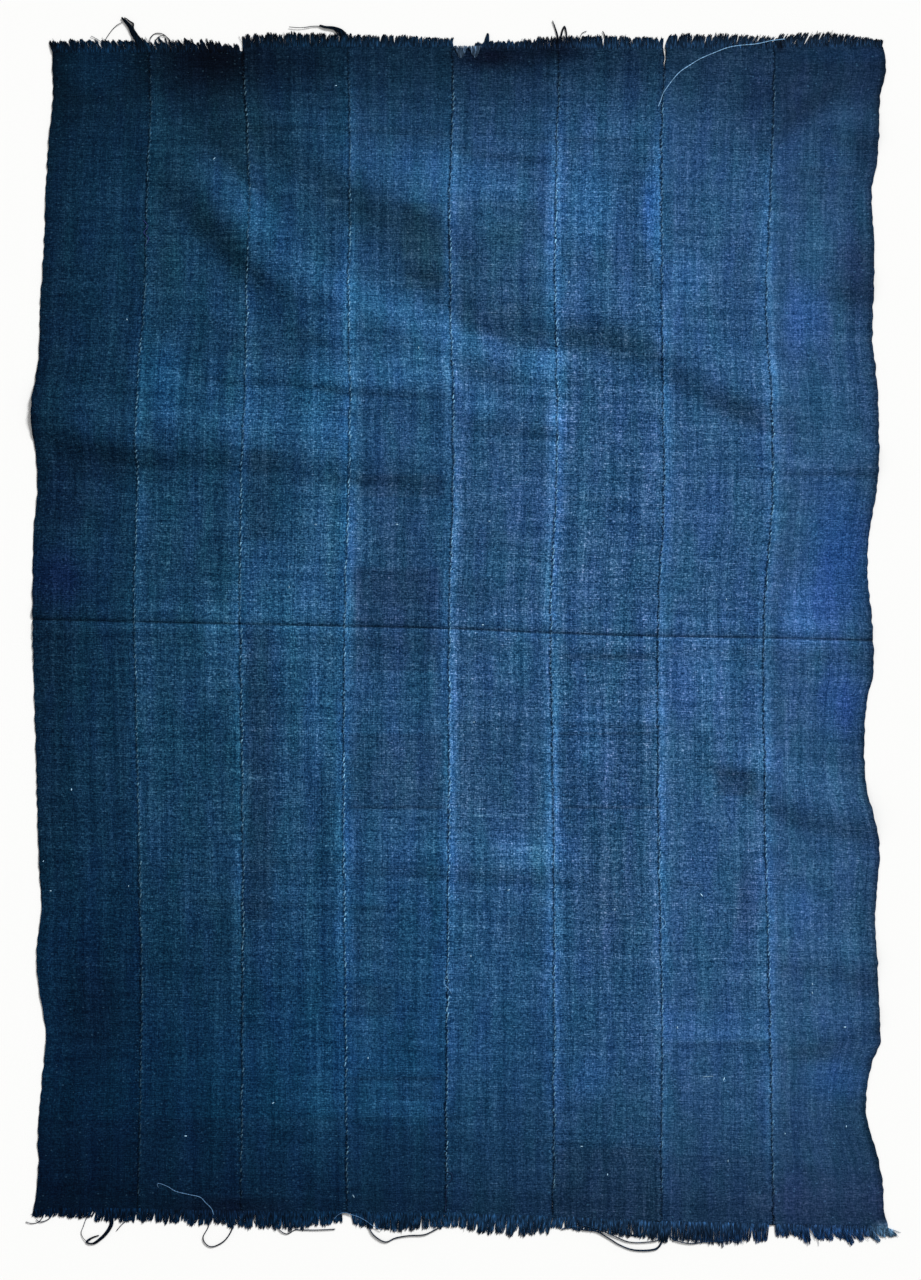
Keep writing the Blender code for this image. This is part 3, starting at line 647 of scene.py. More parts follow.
def dyeAndShadeColour(number, x, y):
    # Linear colour of the dyed cotton at each place on one strip, with painted shade and painted light
    # laid into it
    colour = np.tile(linear(stripTones[number - 1]), (len(x), 1))
    for side, band in ((number - 1, "rightBand"), (number, "leftBand")):
        distance = np.abs(x - sideLine(side, y))
        uneven = 1.0 + bandLook["uneven"] * wavesAlong(y, bandLook["waves"], seeds["seamBands"] + side)
        paler = seamLook(side, band, y) * uneven * np.exp(-(distance / bandLook["width"]) ** 4)
        colour *= (1 + paler[:, None]) ** toneToLight
        for loss, reach in paintedEdgeShade.get(side, ()):
            colour *= (1 - loss * np.exp(-(distance / reach) ** 2)[:, None]) ** toneToLight
    for patch in dyeAndShadePatches:
        turn = math.radians(patch.turn)
        across = (x - patch.across) * math.cos(turn) + (y - patch.along) * math.sin(turn)
        along = (y - patch.along) * math.cos(turn) - (x - patch.across) * math.sin(turn)
        reach = np.hypot(across / patch.halfWidth, along / patch.halfLength)
        share = patch.strength * np.clip(1 - reach ** 2, 0, 1) ** 2
        colour += (linear(patch.colour) - colour) * share[:, None]
    place = (x - sideLine(number - 1, y)) / widthAt(number, y)
    softEnd, softSide = blockEdges
    for block in yarnBlocks:
        if block.strip == number:
            share = np.full(x.shape, block.strength)
            for inward, soft in ((block.top - y, softEnd), (y - block.bottom, softEnd),
                                 (place - block.left, softSide), (block.right - place, softSide)):
                share *= np.clip(inward / soft + 0.5, 0, 1)
            colour += (linear(block.colour) - colour) * share[:, None]
    # Painted shade in the pressed crease line, then the ends' darker dye and painted shade
    pressed = np.exp(-((y - creaseAlong(x)) / sheetSizes["press"]["paintedCreaseShadeWidth"]) ** 2)
    kept = (1 - sheetSizes["press"]["paintedCreaseShade"] * pressed) * smoothCurve(endDyeAndShade, y) ** toneToLight
    return colour * kept[:, None]


def addNode(tree, kind, inputs=(), **settings):
    # Adds a node with its settings. Its inputs come in order, or by name or number in a dictionary,
    # and each is a plain value, another node's output, or a node, whose first output is then used
    made = tree.nodes.new("ShaderNode" + kind)
    for name, value in settings.items():
        setattr(made, name, value)
    for name, value in (inputs if isinstance(inputs, dict) else dict(enumerate(inputs))).items():
        if isinstance(value, bpy.types.Node):
            value = value.outputs[0]
        if isinstance(value, bpy.types.NodeSocket):
            tree.links.new(value, made.inputs[name])
        else:
            made.inputs[name].default_value = value
    return made


def newMaterial(name, roughness, shine=None):
    material = bpy.data.materials.new(name)
    material.use_nodes = True
    shader = material.node_tree.nodes["Principled BSDF"]
    shader.inputs["Roughness"].default_value = roughness
    if shine is not None:
        shader.inputs["Specular IOR Level"].default_value = shine
    return material, shader


clothLook = {
    "warpThread": 1.2,       # real yarn is near 0.7 mm, too fine for the render, so it is coarser
    "warpFloat": 4,          # how far a warp thread shows before it dips
    "weftFloat": 4.8,
    "warpRun": 75,           # how far a thicker or darker length of yarn runs
    "weftRun": 30,
    "crossing": (1.5, 1.4),  # one thread over another
    "packedBand": (9, 320),  # closely packed warp, and closely beaten weft
    "pickBand": (150, 11),
    # How much each layer of the weave counts in its tone, and in its relief
    "toneWeights": {
        "warp": 2.0, "weft": 2.4, "crossings": 0.95, "warpLengths": 1.6, "weftLengths": 1.9,
        "packed": 1.1, "picks": 0.9},
    "reliefWeights": {"warp": 0.8, "weft": 0.9, "crossings": 0.25, "weftLengths": 0.5},
    "reliefDepth": 0.5,
    "relief": 0.5,
    # How much faster than the tone the red, green and blue change: more dye takes the red first
    "dyeDepth": (1.68, 1.10, 0.88),
    "dyeShift": (-0.03, 0.035, 0.035),
    "dyeCloud": (28, 110),
    # What the clouds do to red, green and blue: lean to teal, nothing, and lean to violet
    "tints": ((0.34, (0.84, 1.01, 0.95)), (0.5, (1, 1, 1)), (0.66, (1.0, 0.96, 1.07))),
    "slubCell": (9, 6),      # one pale slub in each cell, up to this share of it
    "slubSize": 0.17,
    "holeCell": (4.4, 3.4),  # and one pale needle hole, close beside a seam
    "holeSize": 0.34,
    "holeReach": (4.0, 9.0),
    # Red, green and blue of both: the dye's times the first, plus the second
    "paleTimes": (2.2, 2.2, 2.0),
    "paleAdded": (0.012, 0.026, 0.036),
    "paleShare": 0.8,
    "seamBead": (5, 3.0),
    "beadNoise": (0.40, 0.53),  # the noise from its palest bead to its darkest
    "leastBead": 0.12,
    "leastParted": 0.55,
    "paintedGapShadeWidth": 1.8,      # half width of the painted shade in the gap between two strips, seen as a dark line
    "openingEdge": (0.45, 1.5),  # shares of it where the line starts and ends to fade
    "paintedGapShade": 0.96,
    "paintedGapShadeColour": (0.0, 0.08, 0.12),  # painted shade in the gap: share of the dye's red, green and blue left there
    "roughness": 0.93,
    "shine": 0.04,
}


def makeClothMaterial():
    # Handspun cotton dyed in indigo: matt, streaked along warp and weft, speckled with pale slubs
    look = clothLook
    material, shader = newMaterial("indigo-dyed handspun cotton", look["roughness"], look["shine"])
    tree = material.node_tree
    add = partial(addNode, tree)
    uv = add("TexCoord").outputs["UV"]
    dyeAndShade = add("Attribute", attribute_name="dyeAndShade").outputs["Color"]
    contrast = add("Attribute", attribute_name="contrast").outputs["Fac"]
    fromSeams = add("Attribute", attribute_name="fromSeams").outputs["Vector"]
    fromLeft, fromRight, parting = add("SeparateXYZ", (fromSeams,)).outputs

    def cells(size, shift=0.0):
        # The weave's own plane, measured in cells of size millimetres across and along. Each layer
        # is shifted by its own amount, so that no two fall together
        return add("Mapping", {
            "Vector": uv, "Scale": (1 / (size[0] * mm), 1 / (size[1] * mm), 1),
            "Location": (shift, shift, shift)})

    def streaks(size, detail, shift=0.0):
        return add("TexNoise", {
            "Vector": cells(size, shift), "Scale": 1.0, "Detail": detail, "Roughness": 0.55})

    def squares(size, shift):
        # Small patches, each with its own tone and a crisp edge
        spots = add("TexVoronoi", {"Vector": cells(size, shift), "Scale": 1.0}, voronoi_dimensions="2D")
        return add("SeparateColor", (spots.outputs["Color"],))

    def specks(size, largest):
        # Scattered spots, each of its own size
        spots = add("TexVoronoi", {"Vector": cells(size), "Scale": 1.0})
        own = add("SeparateColor", (spots.outputs["Color"],))
        reach = add("Math", (own, largest), operation="MULTIPLY")
        return add("Math", (spots.outputs["Distance"], reach), operation="LESS_THAN")

    thread = look["warpThread"]
    layers = {
        "warp": streaks((thread, look["warpFloat"]), 1.0),
        "weft": streaks((look["weftFloat"], thread), 1.0, 3.1),
        "crossings": squares(look["crossing"], 7.7),
        "warpLengths": streaks((thread, look["warpRun"]), 2.0, 5.3),
        "weftLengths": streaks((look["weftRun"], thread), 2.0, 9.9),
        "packed": streaks(look["packedBand"], 2.0, 11.3),
        "picks": streaks(look["pickBand"], 2.0, 17.9),
    }

    def layered(weights):
        # Sums layers of noise, each centred on nothing
        total = 0.0
        for name, weight in weights.items():
            centred = add("Math", (layers[name], 0.5), operation="SUBTRACT")
            total = add("Math", (centred, weight, total), operation="MULTIPLY_ADD")
        return total

    uneven = add("Math", (layered(look["toneWeights"]), contrast), operation="MULTIPLY")
    levels = []
    for depth, shift in zip(look["dyeDepth"], look["dyeShift"]):
        density = add("Math", (uneven, depth, shift), operation="MULTIPLY_ADD")
        levels.append(add("Math", (density,), operation="EXPONENT"))
    level = add("CombineXYZ", levels)

    # Dye clouds: the blue leans to teal or to violet from place to place
    clouds = add("ValToRGB", (streaks(look["dyeCloud"], 3.0, 23.0),))
    clouds.color_ramp.elements.new(0.5)
    for element, (place, tint) in zip(clouds.color_ramp.elements, look["tints"]):
        element.position = place
        element.color = (*tint, 1)
    clouded = add("VectorMath", (dyeAndShade, clouds), operation="MULTIPLY")
    toned = add("VectorMath", (clouded, level), operation="MULTIPLY")

    # Slubs: short pale knots in the yarn, and pale needle holes close beside the seams
    near = add("Math", (fromLeft, fromRight), operation="MINIMUM")
    holeSize = add("MapRange", (near, *look["holeReach"], look["holeSize"], 0.0))
    slubs = specks(look["slubCell"], look["slubSize"])
    spots = add("Math", (slubs, specks(look["holeCell"], holeSize)), operation="MAXIMUM")
    spotted = add("Math", (spots, look["paleShare"]), operation="MULTIPLY")
    pale = add("VectorMath", (dyeAndShade, look["paleTimes"], look["paleAdded"]), operation="MULTIPLY_ADD")
    flecked = add("Mix", {0: spotted, 6: toned, 7: pale}, data_type="RGBA").outputs[2]

    # The two selvedges part between stitches; the shade in the gap is painted as a line of dark beads
    bead = add("MapRange", (
        streaks(look["seamBead"], 1.0, 31.0), *look["beadNoise"], look["leastBead"], 1.0))
    drawn = add("MapRange", (parting, 0.0, 1.0, look["leastParted"], 1.0))
    inner, outer = (share * look["paintedGapShadeWidth"] for share in look["openingEdge"])
    opening = add("MapRange", (near, inner, outer, look["paintedGapShade"], 0.0))
    gapShade = add("Math", (add("Math", (bead, drawn), operation="MULTIPLY"), opening), operation="MULTIPLY")
    deep = add("VectorMath", (dyeAndShade, look["paintedGapShadeColour"]), operation="MULTIPLY")
    seamed = add("Mix", {0: gapShade, 6: flecked, 7: deep}, data_type="RGBA").outputs[2]
    tree.links.new(seamed, shader.inputs["Base Color"])

    bump = add("Bump", {
        "Height": layered(look["reliefWeights"]), "Strength": look["relief"],
        "Distance": look["reliefDepth"] * mm})
    tree.links.new(bump.outputs[0], shader.inputs["Normal"])
    return material


yarnLook = {
    "lengths": (1.8, 9, 2.5),  # of light and dark yarn: across, along and up
    "relief": 0.4,
    "reliefDepth": 0.2,
    "roughness": 0.9,
    "shine": 0.05,
}


def makeYarnMaterial(name, contrast):
    # Loose cotton yarn: matt, its twist and fuzz seen as light and dark lengths of thread
    look = yarnLook
    material, shader = newMaterial(name, look["roughness"], look["shine"])
    tree = material.node_tree
    add = partial(addNode, tree)
    scaled = add("Mapping", {
        "Vector": add("TexCoord").outputs["Object"],
        "Scale": [1 / (length * mm) for length in look["lengths"]]})
    noise = add("TexNoise", {"Vector": scaled, "Scale": 1.0, "Detail": 2.0, "Roughness": 0.6})
    centred = add("Math", (noise, 0.5), operation="SUBTRACT")
    strong = add("Math", (centred, contrast), operation="MULTIPLY")
    level = add("Math", (strong,), operation="EXPONENT")
    dyeAndShade = add("Attribute", attribute_name="dyeAndShade").outputs["Color"]
    toned = add("VectorMath", {0: dyeAndShade, "Scale": level}, operation="SCALE")
    tree.links.new(toned.outputs[0], shader.inputs["Base Color"])
    bump = add("Bump", {
        "Height": noise, "Strength": look["relief"], "Distance": look["reliefDepth"] * mm})
    tree.links.new(bump.outputs[0], shader.inputs["Normal"])
    return material


clothMaterial = makeClothMaterial()
fringeMaterial = makeYarnMaterial("frayed indigo warp yarn", 6.5)
sewingMaterial = makeYarnMaterial("whip-stitched indigo sewing cotton", 3.0)
threadMaterial = makeYarnMaterial("loose faded sewing cotton", 3.0)
print("materials made")


def store(mesh, name, kind, field, values):
    # Keeps one value at each vertex, for the material to read
    mesh.attributes.new(name, kind, "POINT").data.foreach_set(field, values.ravel())


def paint(mesh, colours):
    # Stores one linear colour for the whole mesh, or one at each vertex
    colours = np.broadcast_to(colours, (len(mesh.vertices), 3))
    store(mesh, "dyeAndShade", "FLOAT_COLOR", "color", np.column_stack([colours, np.ones(len(colours))]))


def vertexPlaces(mesh):
    places = np.empty(len(mesh.vertices) * 3)
    mesh.vertices.foreach_get("co", places)
    return places.reshape(-1, 3)


def gridMesh(name, columns, rows, half):
    # A level sheet of cells, as far as half from its middle each way
    shape = bmesh.new()
    bmesh.ops.create_grid(shape, x_segments=columns, y_segments=rows, size=half)
    mesh = bpy.data.meshes.new(name)
    shape.to_mesh(mesh)
    shape.free()
    return mesh


def addObject(name, data):
    made = bpy.data.objects.new(name, data)
    bpy.context.scene.collection.objects.link(made)
    return made


def addPiece(mesh, material):
    mesh.materials.clear()
    mesh.materials.append(material)
    mesh.shade_smooth()
    piece = addObject(mesh.name, mesh)
    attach(piece, "root")
    return piece


weavePitch = 170             # from strip to strip in the weave's plane, where each one lies flat
farAway = 200                # an outer selvedge counts as this much further from any seam


def buildStrip(number):
    # One woven strip as a thin sheet in the folds, finer towards its sewn sides
    stations = rowStations()
    columns, rows = len(columnShares) - 1, len(stations) - 1
    mesh = gridMesh("woven_strip_%d" % number, columns, rows, 0.5)
    places = vertexPlaces(mesh)
    share = columnShares[np.rint((places[:, 0] + 0.5) * columns).astype(int)]
    station = stations[np.rint((0.5 - places[:, 1]) * rows).astype(int)]
    y = alongAt(number, share, station)
    x = acrossAt(number, share, y)
    z = sheetHeight(number, share, x, y, station)
    mesh.vertices.foreach_set("co", (np.column_stack([x, y, z]) * mm).ravel())
    paint(mesh, dyeAndShadeColour(number, x, y))
    # Distance from the seams on the strip's left and right, and how far the nearer one has parted, which
    # the material shows as painted shade
    width = widthAt(number, y)
    parting = np.where(share < 0.5, seamLook(number - 1, "parting", y), seamLook(number, "parting", y))
    store(mesh, "fromSeams", "FLOAT_VECTOR", "vector", np.column_stack([
        share * width + farAway * (number == 1),
        (1 - share) * width + farAway * (number == stripCount), parting]))
    store(mesh, "contrast", "FLOAT", "value", weaveContrast[number - 1] * smoothCurve(endContrast, y))
    corners = np.empty(len(mesh.loops), int)
    mesh.loops.foreach_get("vertex_index", corners)
    plan = np.column_stack([share * stripWidth + number * weavePitch, station]) * mm
    mesh.uv_layers.new(name="weave").data.foreach_set("uv", plan[corners].ravel())
    piece = addPiece(mesh, clothMaterial)
    thicken = piece.modifiers.new("cloth thickness", "SOLIDIFY")
    thicken.thickness = sheetSizes["thickness"] * mm
    thicken.offset = 1.0
    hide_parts("strip_%d" % number)
    return piece


strips = [buildStrip(number) for number in stripNumbers]
print("strips: %d woven strips laid in the folds" % len(strips))


def threadMesh(name, paths, radii, roundness):
    # Threads as thin tapered tubes: each path is an array of points and has a radius at every point
    curve = bpy.data.curves.new(name + "_line", "CURVE")
    curve.dimensions = "3D"
    curve.bevel_depth = mm
    curve.bevel_resolution = roundness
    curve.use_fill_caps = True
    for path, radius in zip(paths, radii):
        spline = curve.splines.new("POLY")
        spline.points.add(len(path) - 1)
        spline.points.foreach_set("co", np.column_stack([path * mm, np.ones(len(path))]).ravel())
        spline.points.foreach_set("radius", radius)
    guide = addObject(name + "_line", curve)
    shaped = guide.evaluated_get(bpy.context.evaluated_depsgraph_get())
    mesh = bpy.data.meshes.new_from_object(shaped)
    mesh.name = name
    bpy.data.objects.remove(guide)
    bpy.data.curves.remove(curve)
    return mesh


# Fringe of each strip: sideways lean of its first and last lock in degrees, positive to the right,
# their lengths at the start, middle and end, how ragged they are beside the usual, and the share
# of the width that is bare at each side
Fringe = namedtuple(
    "Fringe", "leanFirst leanLast start middle end ragged bareStart bareEnd", defaults=(0.0, 0.0))
topFringes = [Fringe(*row) for row in (
    (-24, -28, 15, 16, 15, 1.4),
    (-30, -12, 19, 15, 9, 3.2, 0.0, 0.03),
    (-6, 2, 15, 17, 15, 1.6),
    (0, 4, 14, 13, 9, 1.2),
    (0, -6, 6, 9, 15, 2.2, 0.22),
    (-2, 0, 15, 16, 13, 1.2),
    (6, 30, 18, 17, 15, 1.4),
    (32, 15, 20, 19, 7, 1.0),
)]
bottomFringes = [Fringe(*row) for row in (
    (-26, -9, 10, 13, 16, 1.2),
    (-10, -4, 16, 16, 20, 1.5),
    (-4, -2, 19, 22, 12, 1.0, 0.0, 0.045),
    (2, -2, 14, 24, 17, 0.7, 0.05),
    (-4, -16, 17, 24, 23, 1.0),
    (-6, 2, 12, 17, 26, 0.7),
    (0, 2, 24, 27, 20, 0.7, 0.0, 0.03),
    (8, 52, 14, 26, 18, 1.5, 0.02),
)]

# Tufts, loops and single warp ends that stick out: the strip they grow from, how many threads
# run together, how far these spread, their radius, and the path
Strand = namedtuple("Strand", "strip threads spread radius path")
topStrands = [Strand(*row) for row in (
    (1, 1, 0, 0.4, ((-446, 737), (-441, 745), (-436, 752), (-430, 758), (-423, 762))),
    (1, 1, 0, 0.35, ((-449, 737), (-454, 741), (-462, 745))),
    (1, 28, 4.6, 0.52, (
        (-399, 731), (-402, 739), (-408, 747), (-412, 755), (-416, 760), (-423, 768))),
    (1, 8, 2.0, 0.5, ((-404, 746), (-409, 754), (-409, 760), (-413, 763), (-420, 768))),
    (2, 3, 1.0, 0.26, ((-390, 734), (-388, 742), (-382, 748), (-372, 747), (-364, 740))),
    (2, 2, 1.2, 0.26, ((-384, 734), (-379, 743), (-370, 745), (-361, 737))),
    (3, 36, 4.6, 0.55, (
        (-145, 736), (-147.5, 745), (-153, 751.5), (-162, 755), (-171, 756), (-177, 758))),
    (3, 2, 0.7, 0.42, (
        (-150, 742), (-160, 753), (-170, 756), (-184, 757), (-200, 755), (-215, 756))),
    (4, 9, 2.0, 0.45, ((-12, 729), (-13, 737), (-11, 743))),
    (5, 40, 4.4, 0.5, ((30, 728), (31, 738), (32, 748))),
    (5, 7, 1.3, 0.4, ((120, 733), (119, 745), (116, 755), (113, 764))),
    (5, 7, 1.5, 0.42, ((122, 733), (123, 745), (127, 757), (130, 746), (128, 734))),
    (6, 1, 0, 0.4, ((145, 738), (149, 748), (155, 751))),
    (6, 3, 0.8, 0.4, ((178, 736), (178, 744), (175, 751))),
)]
bottomStrands = [Strand(*row) for row in (
    (1, 2, 0.9, 0.4, ((-518, -716), (-526, -730), (-535, -733), (-543, -731))),
    (1, 2, 1.6, 0.4, ((-506, -716), (-514, -727), (-524, -731), (-530, -728))),
    (1, 11, 2.2, 0.5, (
        (-437, -720), (-436, -733), (-442, -744), (-450, -752), (-459, -758), (-467, -756),
        (-461, -751), (-452, -748))),
    (1, 1, 0, 0.4, (
        (-466, -722), (-471, -736), (-474, -745), (-470, -753), (-463, -758))),
    (2, 1, 0, 0.5, ((-404, -720), (-412, -727), (-422, -733), (-430, -742))),
    (2, 2, 0.9, 0.6, (
        (-283, -722), (-286, -740), (-294, -753), (-304, -760), (-313, -762), (-320, -757),
        (-322, -749), (-316, -738), (-312, -724))),
    (3, 1, 0, 0.6, (
        (-231, -728), (-228, -740), (-218, -746), (-208, -741), (-200, -741), (-180, -741),
        (-158, -740))),
    (4, 2, 0.5, 0.65, (
        (-116, -728), (-115, -740), (-107, -750), (-95, -756), (-83, -751), (-66, -748),
        (-48, -747), (-36, -742), (-22, -734))),
    (6, 4, 1.4, 0.6, (
        (238, -744), (214, -748), (190, -742), (172, -734), (150, -731), (128, -736))),
    (6, 3, 1.0, 0.7, (
        (246, -734), (250, -748), (246, -761), (236, -766), (214, -766), (197, -760),
        (184, -752), (168, -743), (152, -741), (140, -737), (124, -740))),
    (6, 2, 0.4, 0.6, (
        (246, -738), (246, -752), (230, -756), (208, -756), (188, -748), (166, -739), (140, -733))),
    (7, 2, 0.6, 0.6, (
        (256, -738), (262, -752), (284, -758), (300, -756), (320, -755), (336, -753))),
    (8, 26, 5.0, 0.5, ((520, -736), (527, -741), (533, -745), (539, -748))),
)]

fringeSizes = {
    "pitch": 0.42,           # between warp ends, which lie close together
    "topLock": 4.6,          # mean width of the locks they gather into
    "bottomLock": 7.0,
    "lockRange": (0.4, 1.9),  # the narrowest and the widest, as shares of it
    "topNotch": 0.12,        # share of its length that a warp end at the side of a lock has lost
    "bottomNotch": 0.13,
    "notchCurve": 1.7,
    "topUneven": 0.07,       # how much the locks differ in length
    "bottomUneven": 0.14,
    "endLengths": (0.86, 1.06),
    "gather": 0.15,          # share of its place in the lock by which its tip draws inwards
    "lockLean": 7,           # degrees by which a lock strays, and a warp end in it
    "endLean": 3,
    "root": 0.56,            # radius where the warp leaves the weave
    "taper": (0.9, 1, 1, 0.88, 0.75),  # share of it along the warp end
    "shareRange": (0.002, 0.998),  # of the strip's width that they stay within
    "inset": 2.6,            # how far the loosened warp ends reach back over the weave
    "insetRange": (0.35, 1),
    "sunk": 0.3,             # how deep they start in it
    "heightFrom": 3,         # how far inside the woven end its height is read
    "over": (-0.35, 0.12),   # above that height, where they leave it
    "low": (0.45, 1.35),     # above the surface, where they end
    "drop": 1.5,
    "steps": (0.3, 0.65, 1.0),
    "curl": 0.9,
    "sway": 0.6,
    "swayAtRoot": 0.3,       # share of it where they leave the weave
    "fuzz": 14,              # single fine ends that stray from the rest
    "fuzzLean": 28,
    "fuzzLengths": (0.95, 1.15),
    "fuzzRadius": 0.22,
    "topShades": (1.30, 0.30),  # loosened yarn looks paler than the weave, and darker at its tips
    "bottomShades": (1.45, 0.60),
    "shadeFrom": 733,
    "shadeReach": 14,
    "strand": {
        "steps": 4,
        "gather": 0.75,      # share of their spread that threads lose towards the tip
        "alongShare": 0.5,   # they spread less along the cloth than across it
        "rise": (0.35, 1.2),
        "wave": (0.25, 9),   # height of the waves in them, and how fast these follow each other
        "rootRise": 0.5,     # of their start above the cloth's rest height
        "cut": 0.3,          # share by which the shorter threads fall short
    },
}


def sampleThree(start, middle, end, share):
    # Value between three that stand at the start, middle and end
    return np.interp(share, (0, 0.5, 1), (start, middle, end))


def topSurface(x, y):
    return clothHeight(x, y) + sheetSizes["thickness"]


def frayedEnds(number, top, share, lean, length, radius, rng):
    # Warp ends: each lies along the weave, leaves it and drops to the surface
    size = fringeSizes
    count = len(share)
    outward = 1 if top else -1
    share = np.clip(share, *size["shareRange"])
    end = stripEnd(number, share, top)
    across = acrossAt(number, share, end)
    surface = topSurface(across, end - outward * size["heightFrom"])
    over = surface + rng.uniform(*size["over"], count)
    inset = size["inset"] * rng.uniform(*size["insetRange"], count)
    curl = rng.uniform(-size["curl"], size["curl"], count)
    sway = rng.uniform(-size["sway"], size["sway"], count)
    low = rng.uniform(*size["low"], count)
    wayX, wayY = np.sin(lean), outward * np.cos(lean)
    points = [(across, end - outward * inset, over - size["sunk"]),
              (across + sway * size["swayAtRoot"], end, over)]
    for step in size["steps"]:
        stray = curl * math.sin(step * math.pi) + sway * step
        points.append((
            across + wayX * length * step + wayY * stray, end + wayY * length * step - wayX * stray,
            low + (over - low) * (1 - step) ** size["drop"]))
    return list(np.array(points).transpose(2, 0, 1)), list(np.outer(radius, size["taper"]))


def strandPaths(strand, rng):
    # Threads that run together along one path, each a little beside the next
    size = fringeSizes["strand"]
    paths = []
    radii = []
    for thread in range(strand.threads):
        path = smoothPath([(x, y, 0) for x, y in strand.path], size["steps"])
        share = np.linspace(0, 1, len(path))
        across, along = rng.uniform(-1, 1, 2) * strand.spread
        path[:, 0] += across * (1 - size["gather"] * share)
        path[:, 1] += along * (1 - size["gather"] * share) * size["alongShare"]
        depth, pace = size["wave"]
        path[:, 2] = strand.radius + rng.uniform(*size["rise"]) + depth * np.sin(share * pace + thread)
        path[0, 2] = sheetSizes["rest"] + size["rootRise"]
        keep = len(path) - int(rng.uniform(0, size["cut"]) * len(path) * (thread > 0))
        paths.append(path[:keep])
        radii.append(np.full(keep, strand.radius))
    return paths, radii


def buildFringe(number, top):
    # The frayed warp at one end of a strip, with the tufts and loops that grow from it
    size = fringeSizes
    fringe = (topFringes if top else bottomFringes)[number - 1]
    rng = np.random.default_rng(seeds["fringes"] + number * 2 + top)
    end = "top" if top else "bottom"
    notch, uneven = size[end + "Notch"] * fringe.ragged, size[end + "Uneven"] * fringe.ragged
    shares, leans, lengths, widths = [], [], [], []

    def leanAt(share, stray):
        return fringe.leanFirst + (fringe.leanLast - fringe.leanFirst) * share + rng.uniform(-stray, stray)

    def lengthAt(share):
        return sampleThree(fringe.start, fringe.middle, fringe.end, share)

    place = fringe.bareStart * stripWidth
    last = stripWidth * (1 - fringe.bareEnd)
    while place < last - 1:
        width = min(size[end + "Lock"] * rng.uniform(*size["lockRange"]), last - place)
        middle = (place + width / 2) / stripWidth
        length = lengthAt(middle) * rng.uniform(1 - uneven, 1 + uneven)
        lean = leanAt(middle, size["lockLean"])
        count = max(int(width / size["pitch"]), 2)
        within = np.linspace(-1, 1, count)
        inward = np.degrees(np.arctan(within * width / 2 * size["gather"] / length))
        shares += list(middle + within * width / (2 * stripWidth))
        leans += list(np.radians(lean - inward + rng.uniform(-size["endLean"], size["endLean"], count)))
        shape = 1 - notch * np.abs(within) ** size["notchCurve"]
        lengths += list(length * shape * rng.uniform(*size["endLengths"], count))
        widths += [size["root"]] * count
        place += width
    for stray in range(size["fuzz"]):
        share = rng.uniform(fringe.bareStart, 1 - fringe.bareEnd)
        shares.append(share)
        leans.append(math.radians(leanAt(share, size["fuzzLean"])))
        lengths.append(lengthAt(share) * rng.uniform(*size["fuzzLengths"]))
        widths.append(size["fuzzRadius"])
    paths, radii = frayedEnds(
        number, top, np.array(shares), np.array(leans), np.array(lengths), np.array(widths), rng)
    for strand in topStrands if top else bottomStrands:
        if strand.strip == number:
            more, moreRadii = strandPaths(strand, rng)
            paths += more
            radii += moreRadii
    mesh = threadMesh("frayed_warp_%s_%d" % (end, number), paths, radii, 0)
    x, y = vertexPlaces(mesh).T[:2] / mm
    beyond = np.clip((np.abs(y) - size["shadeFrom"]) / size["shadeReach"], 0, 1)
    rootShade, tipShade = size[end + "Shades"]
    paint(mesh, dyeAndShadeColour(number, x, y) * (rootShade + (tipShade - rootShade) * beyond)[:, None])
    piece = addPiece(mesh, fringeMaterial)
    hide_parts("fringe_%s_%d" % (end, number))
    return piece


fringes = {
    number: [buildFringe(number, True), buildFringe(number, False)] for number in stripNumbers}
print("fringes: %d frayed ends" % (2 * len(fringes)))


stitchSizes = {
    "jitter": 0.7,           # how far a stitch strays from its place along the seam
    "radius": 0.88,
    "radiusRange": (0.7, 1.15),
    "reach": 0.85,           # half of how far a stitch runs across the seam
    "reachRange": (0.65, 1.2),
    "shift": 1.5,            # its middle to the right of the opening
    "shiftRange": (0.4, 1.4),
    "slant": 2.1,            # how far its right end is further along than its middle
    "slantRange": (0.6, 1.4),
    "rise": 0.25,            # above the cloth where it crosses the seam
    # Its height above that from end to end, at shares of its reach
    "profile": ((-1, -0.45), (-0.62, 0.1), (-0.2, 0), (0.2, 0), (0.62, 0.1), (1, -0.45)),
    "pale": (0.112, 0.22, 0.28),  # red, green and blue that the palest stitches add to the cloth's tone
    "paleMean": 0.9,
    "paleUneven": 0.6,
    "paleWaves": (9, 34),
    "paleLimits": (0.1, 2),
}


def buildSeam(side):
    # Whip stitches that draw two strips together, one short slanting bar after another
    size = stitchSizes
    rng = np.random.default_rng(seeds["stitches"] + side)
    last = int(sheetSizes["rows"]["innerEnd"] / stitchPitch)
    stations = np.arange(-last, last + 1) * stitchPitch
    count = len(stations)
    stations = stations + rng.uniform(-size["jitter"], size["jitter"], count)
    seam = sideLine(side, stations) + size["shift"] * rng.uniform(*size["shiftRange"], count)
    along = alongAt(side, 1.0, stations)
    surface = topSurface(seam, along) + size["rise"]
    reach = size["reach"] * rng.uniform(*size["reachRange"], count)
    slant = size["slant"] * rng.uniform(*size["slantRange"], count)
    points = [(seam + share * reach, along + share * slant, surface + rise)
              for share, rise in size["profile"]]
    paths = list(np.array(points).transpose(2, 0, 1))
    radius = size["radius"] * rng.uniform(*size["radiusRange"], count)
    mesh = threadMesh("seam_stitches_%d" % side, paths, list(np.outer(radius, np.ones(len(points)))), 0)
    x, y = vertexPlaces(mesh).T[:2] / mm
    uneven = size["paleUneven"] * wavesAlong(y, size["paleWaves"], seeds["paleStitches"] + side)
    pale = seamLook(side, "stitches", y) * np.clip(size["paleMean"] + uneven, *size["paleLimits"])
    paint(mesh, dyeAndShadeColour(side + 1, x, y) + np.outer(pale, size["pale"]))
    return addPiece(mesh, sewingMaterial)


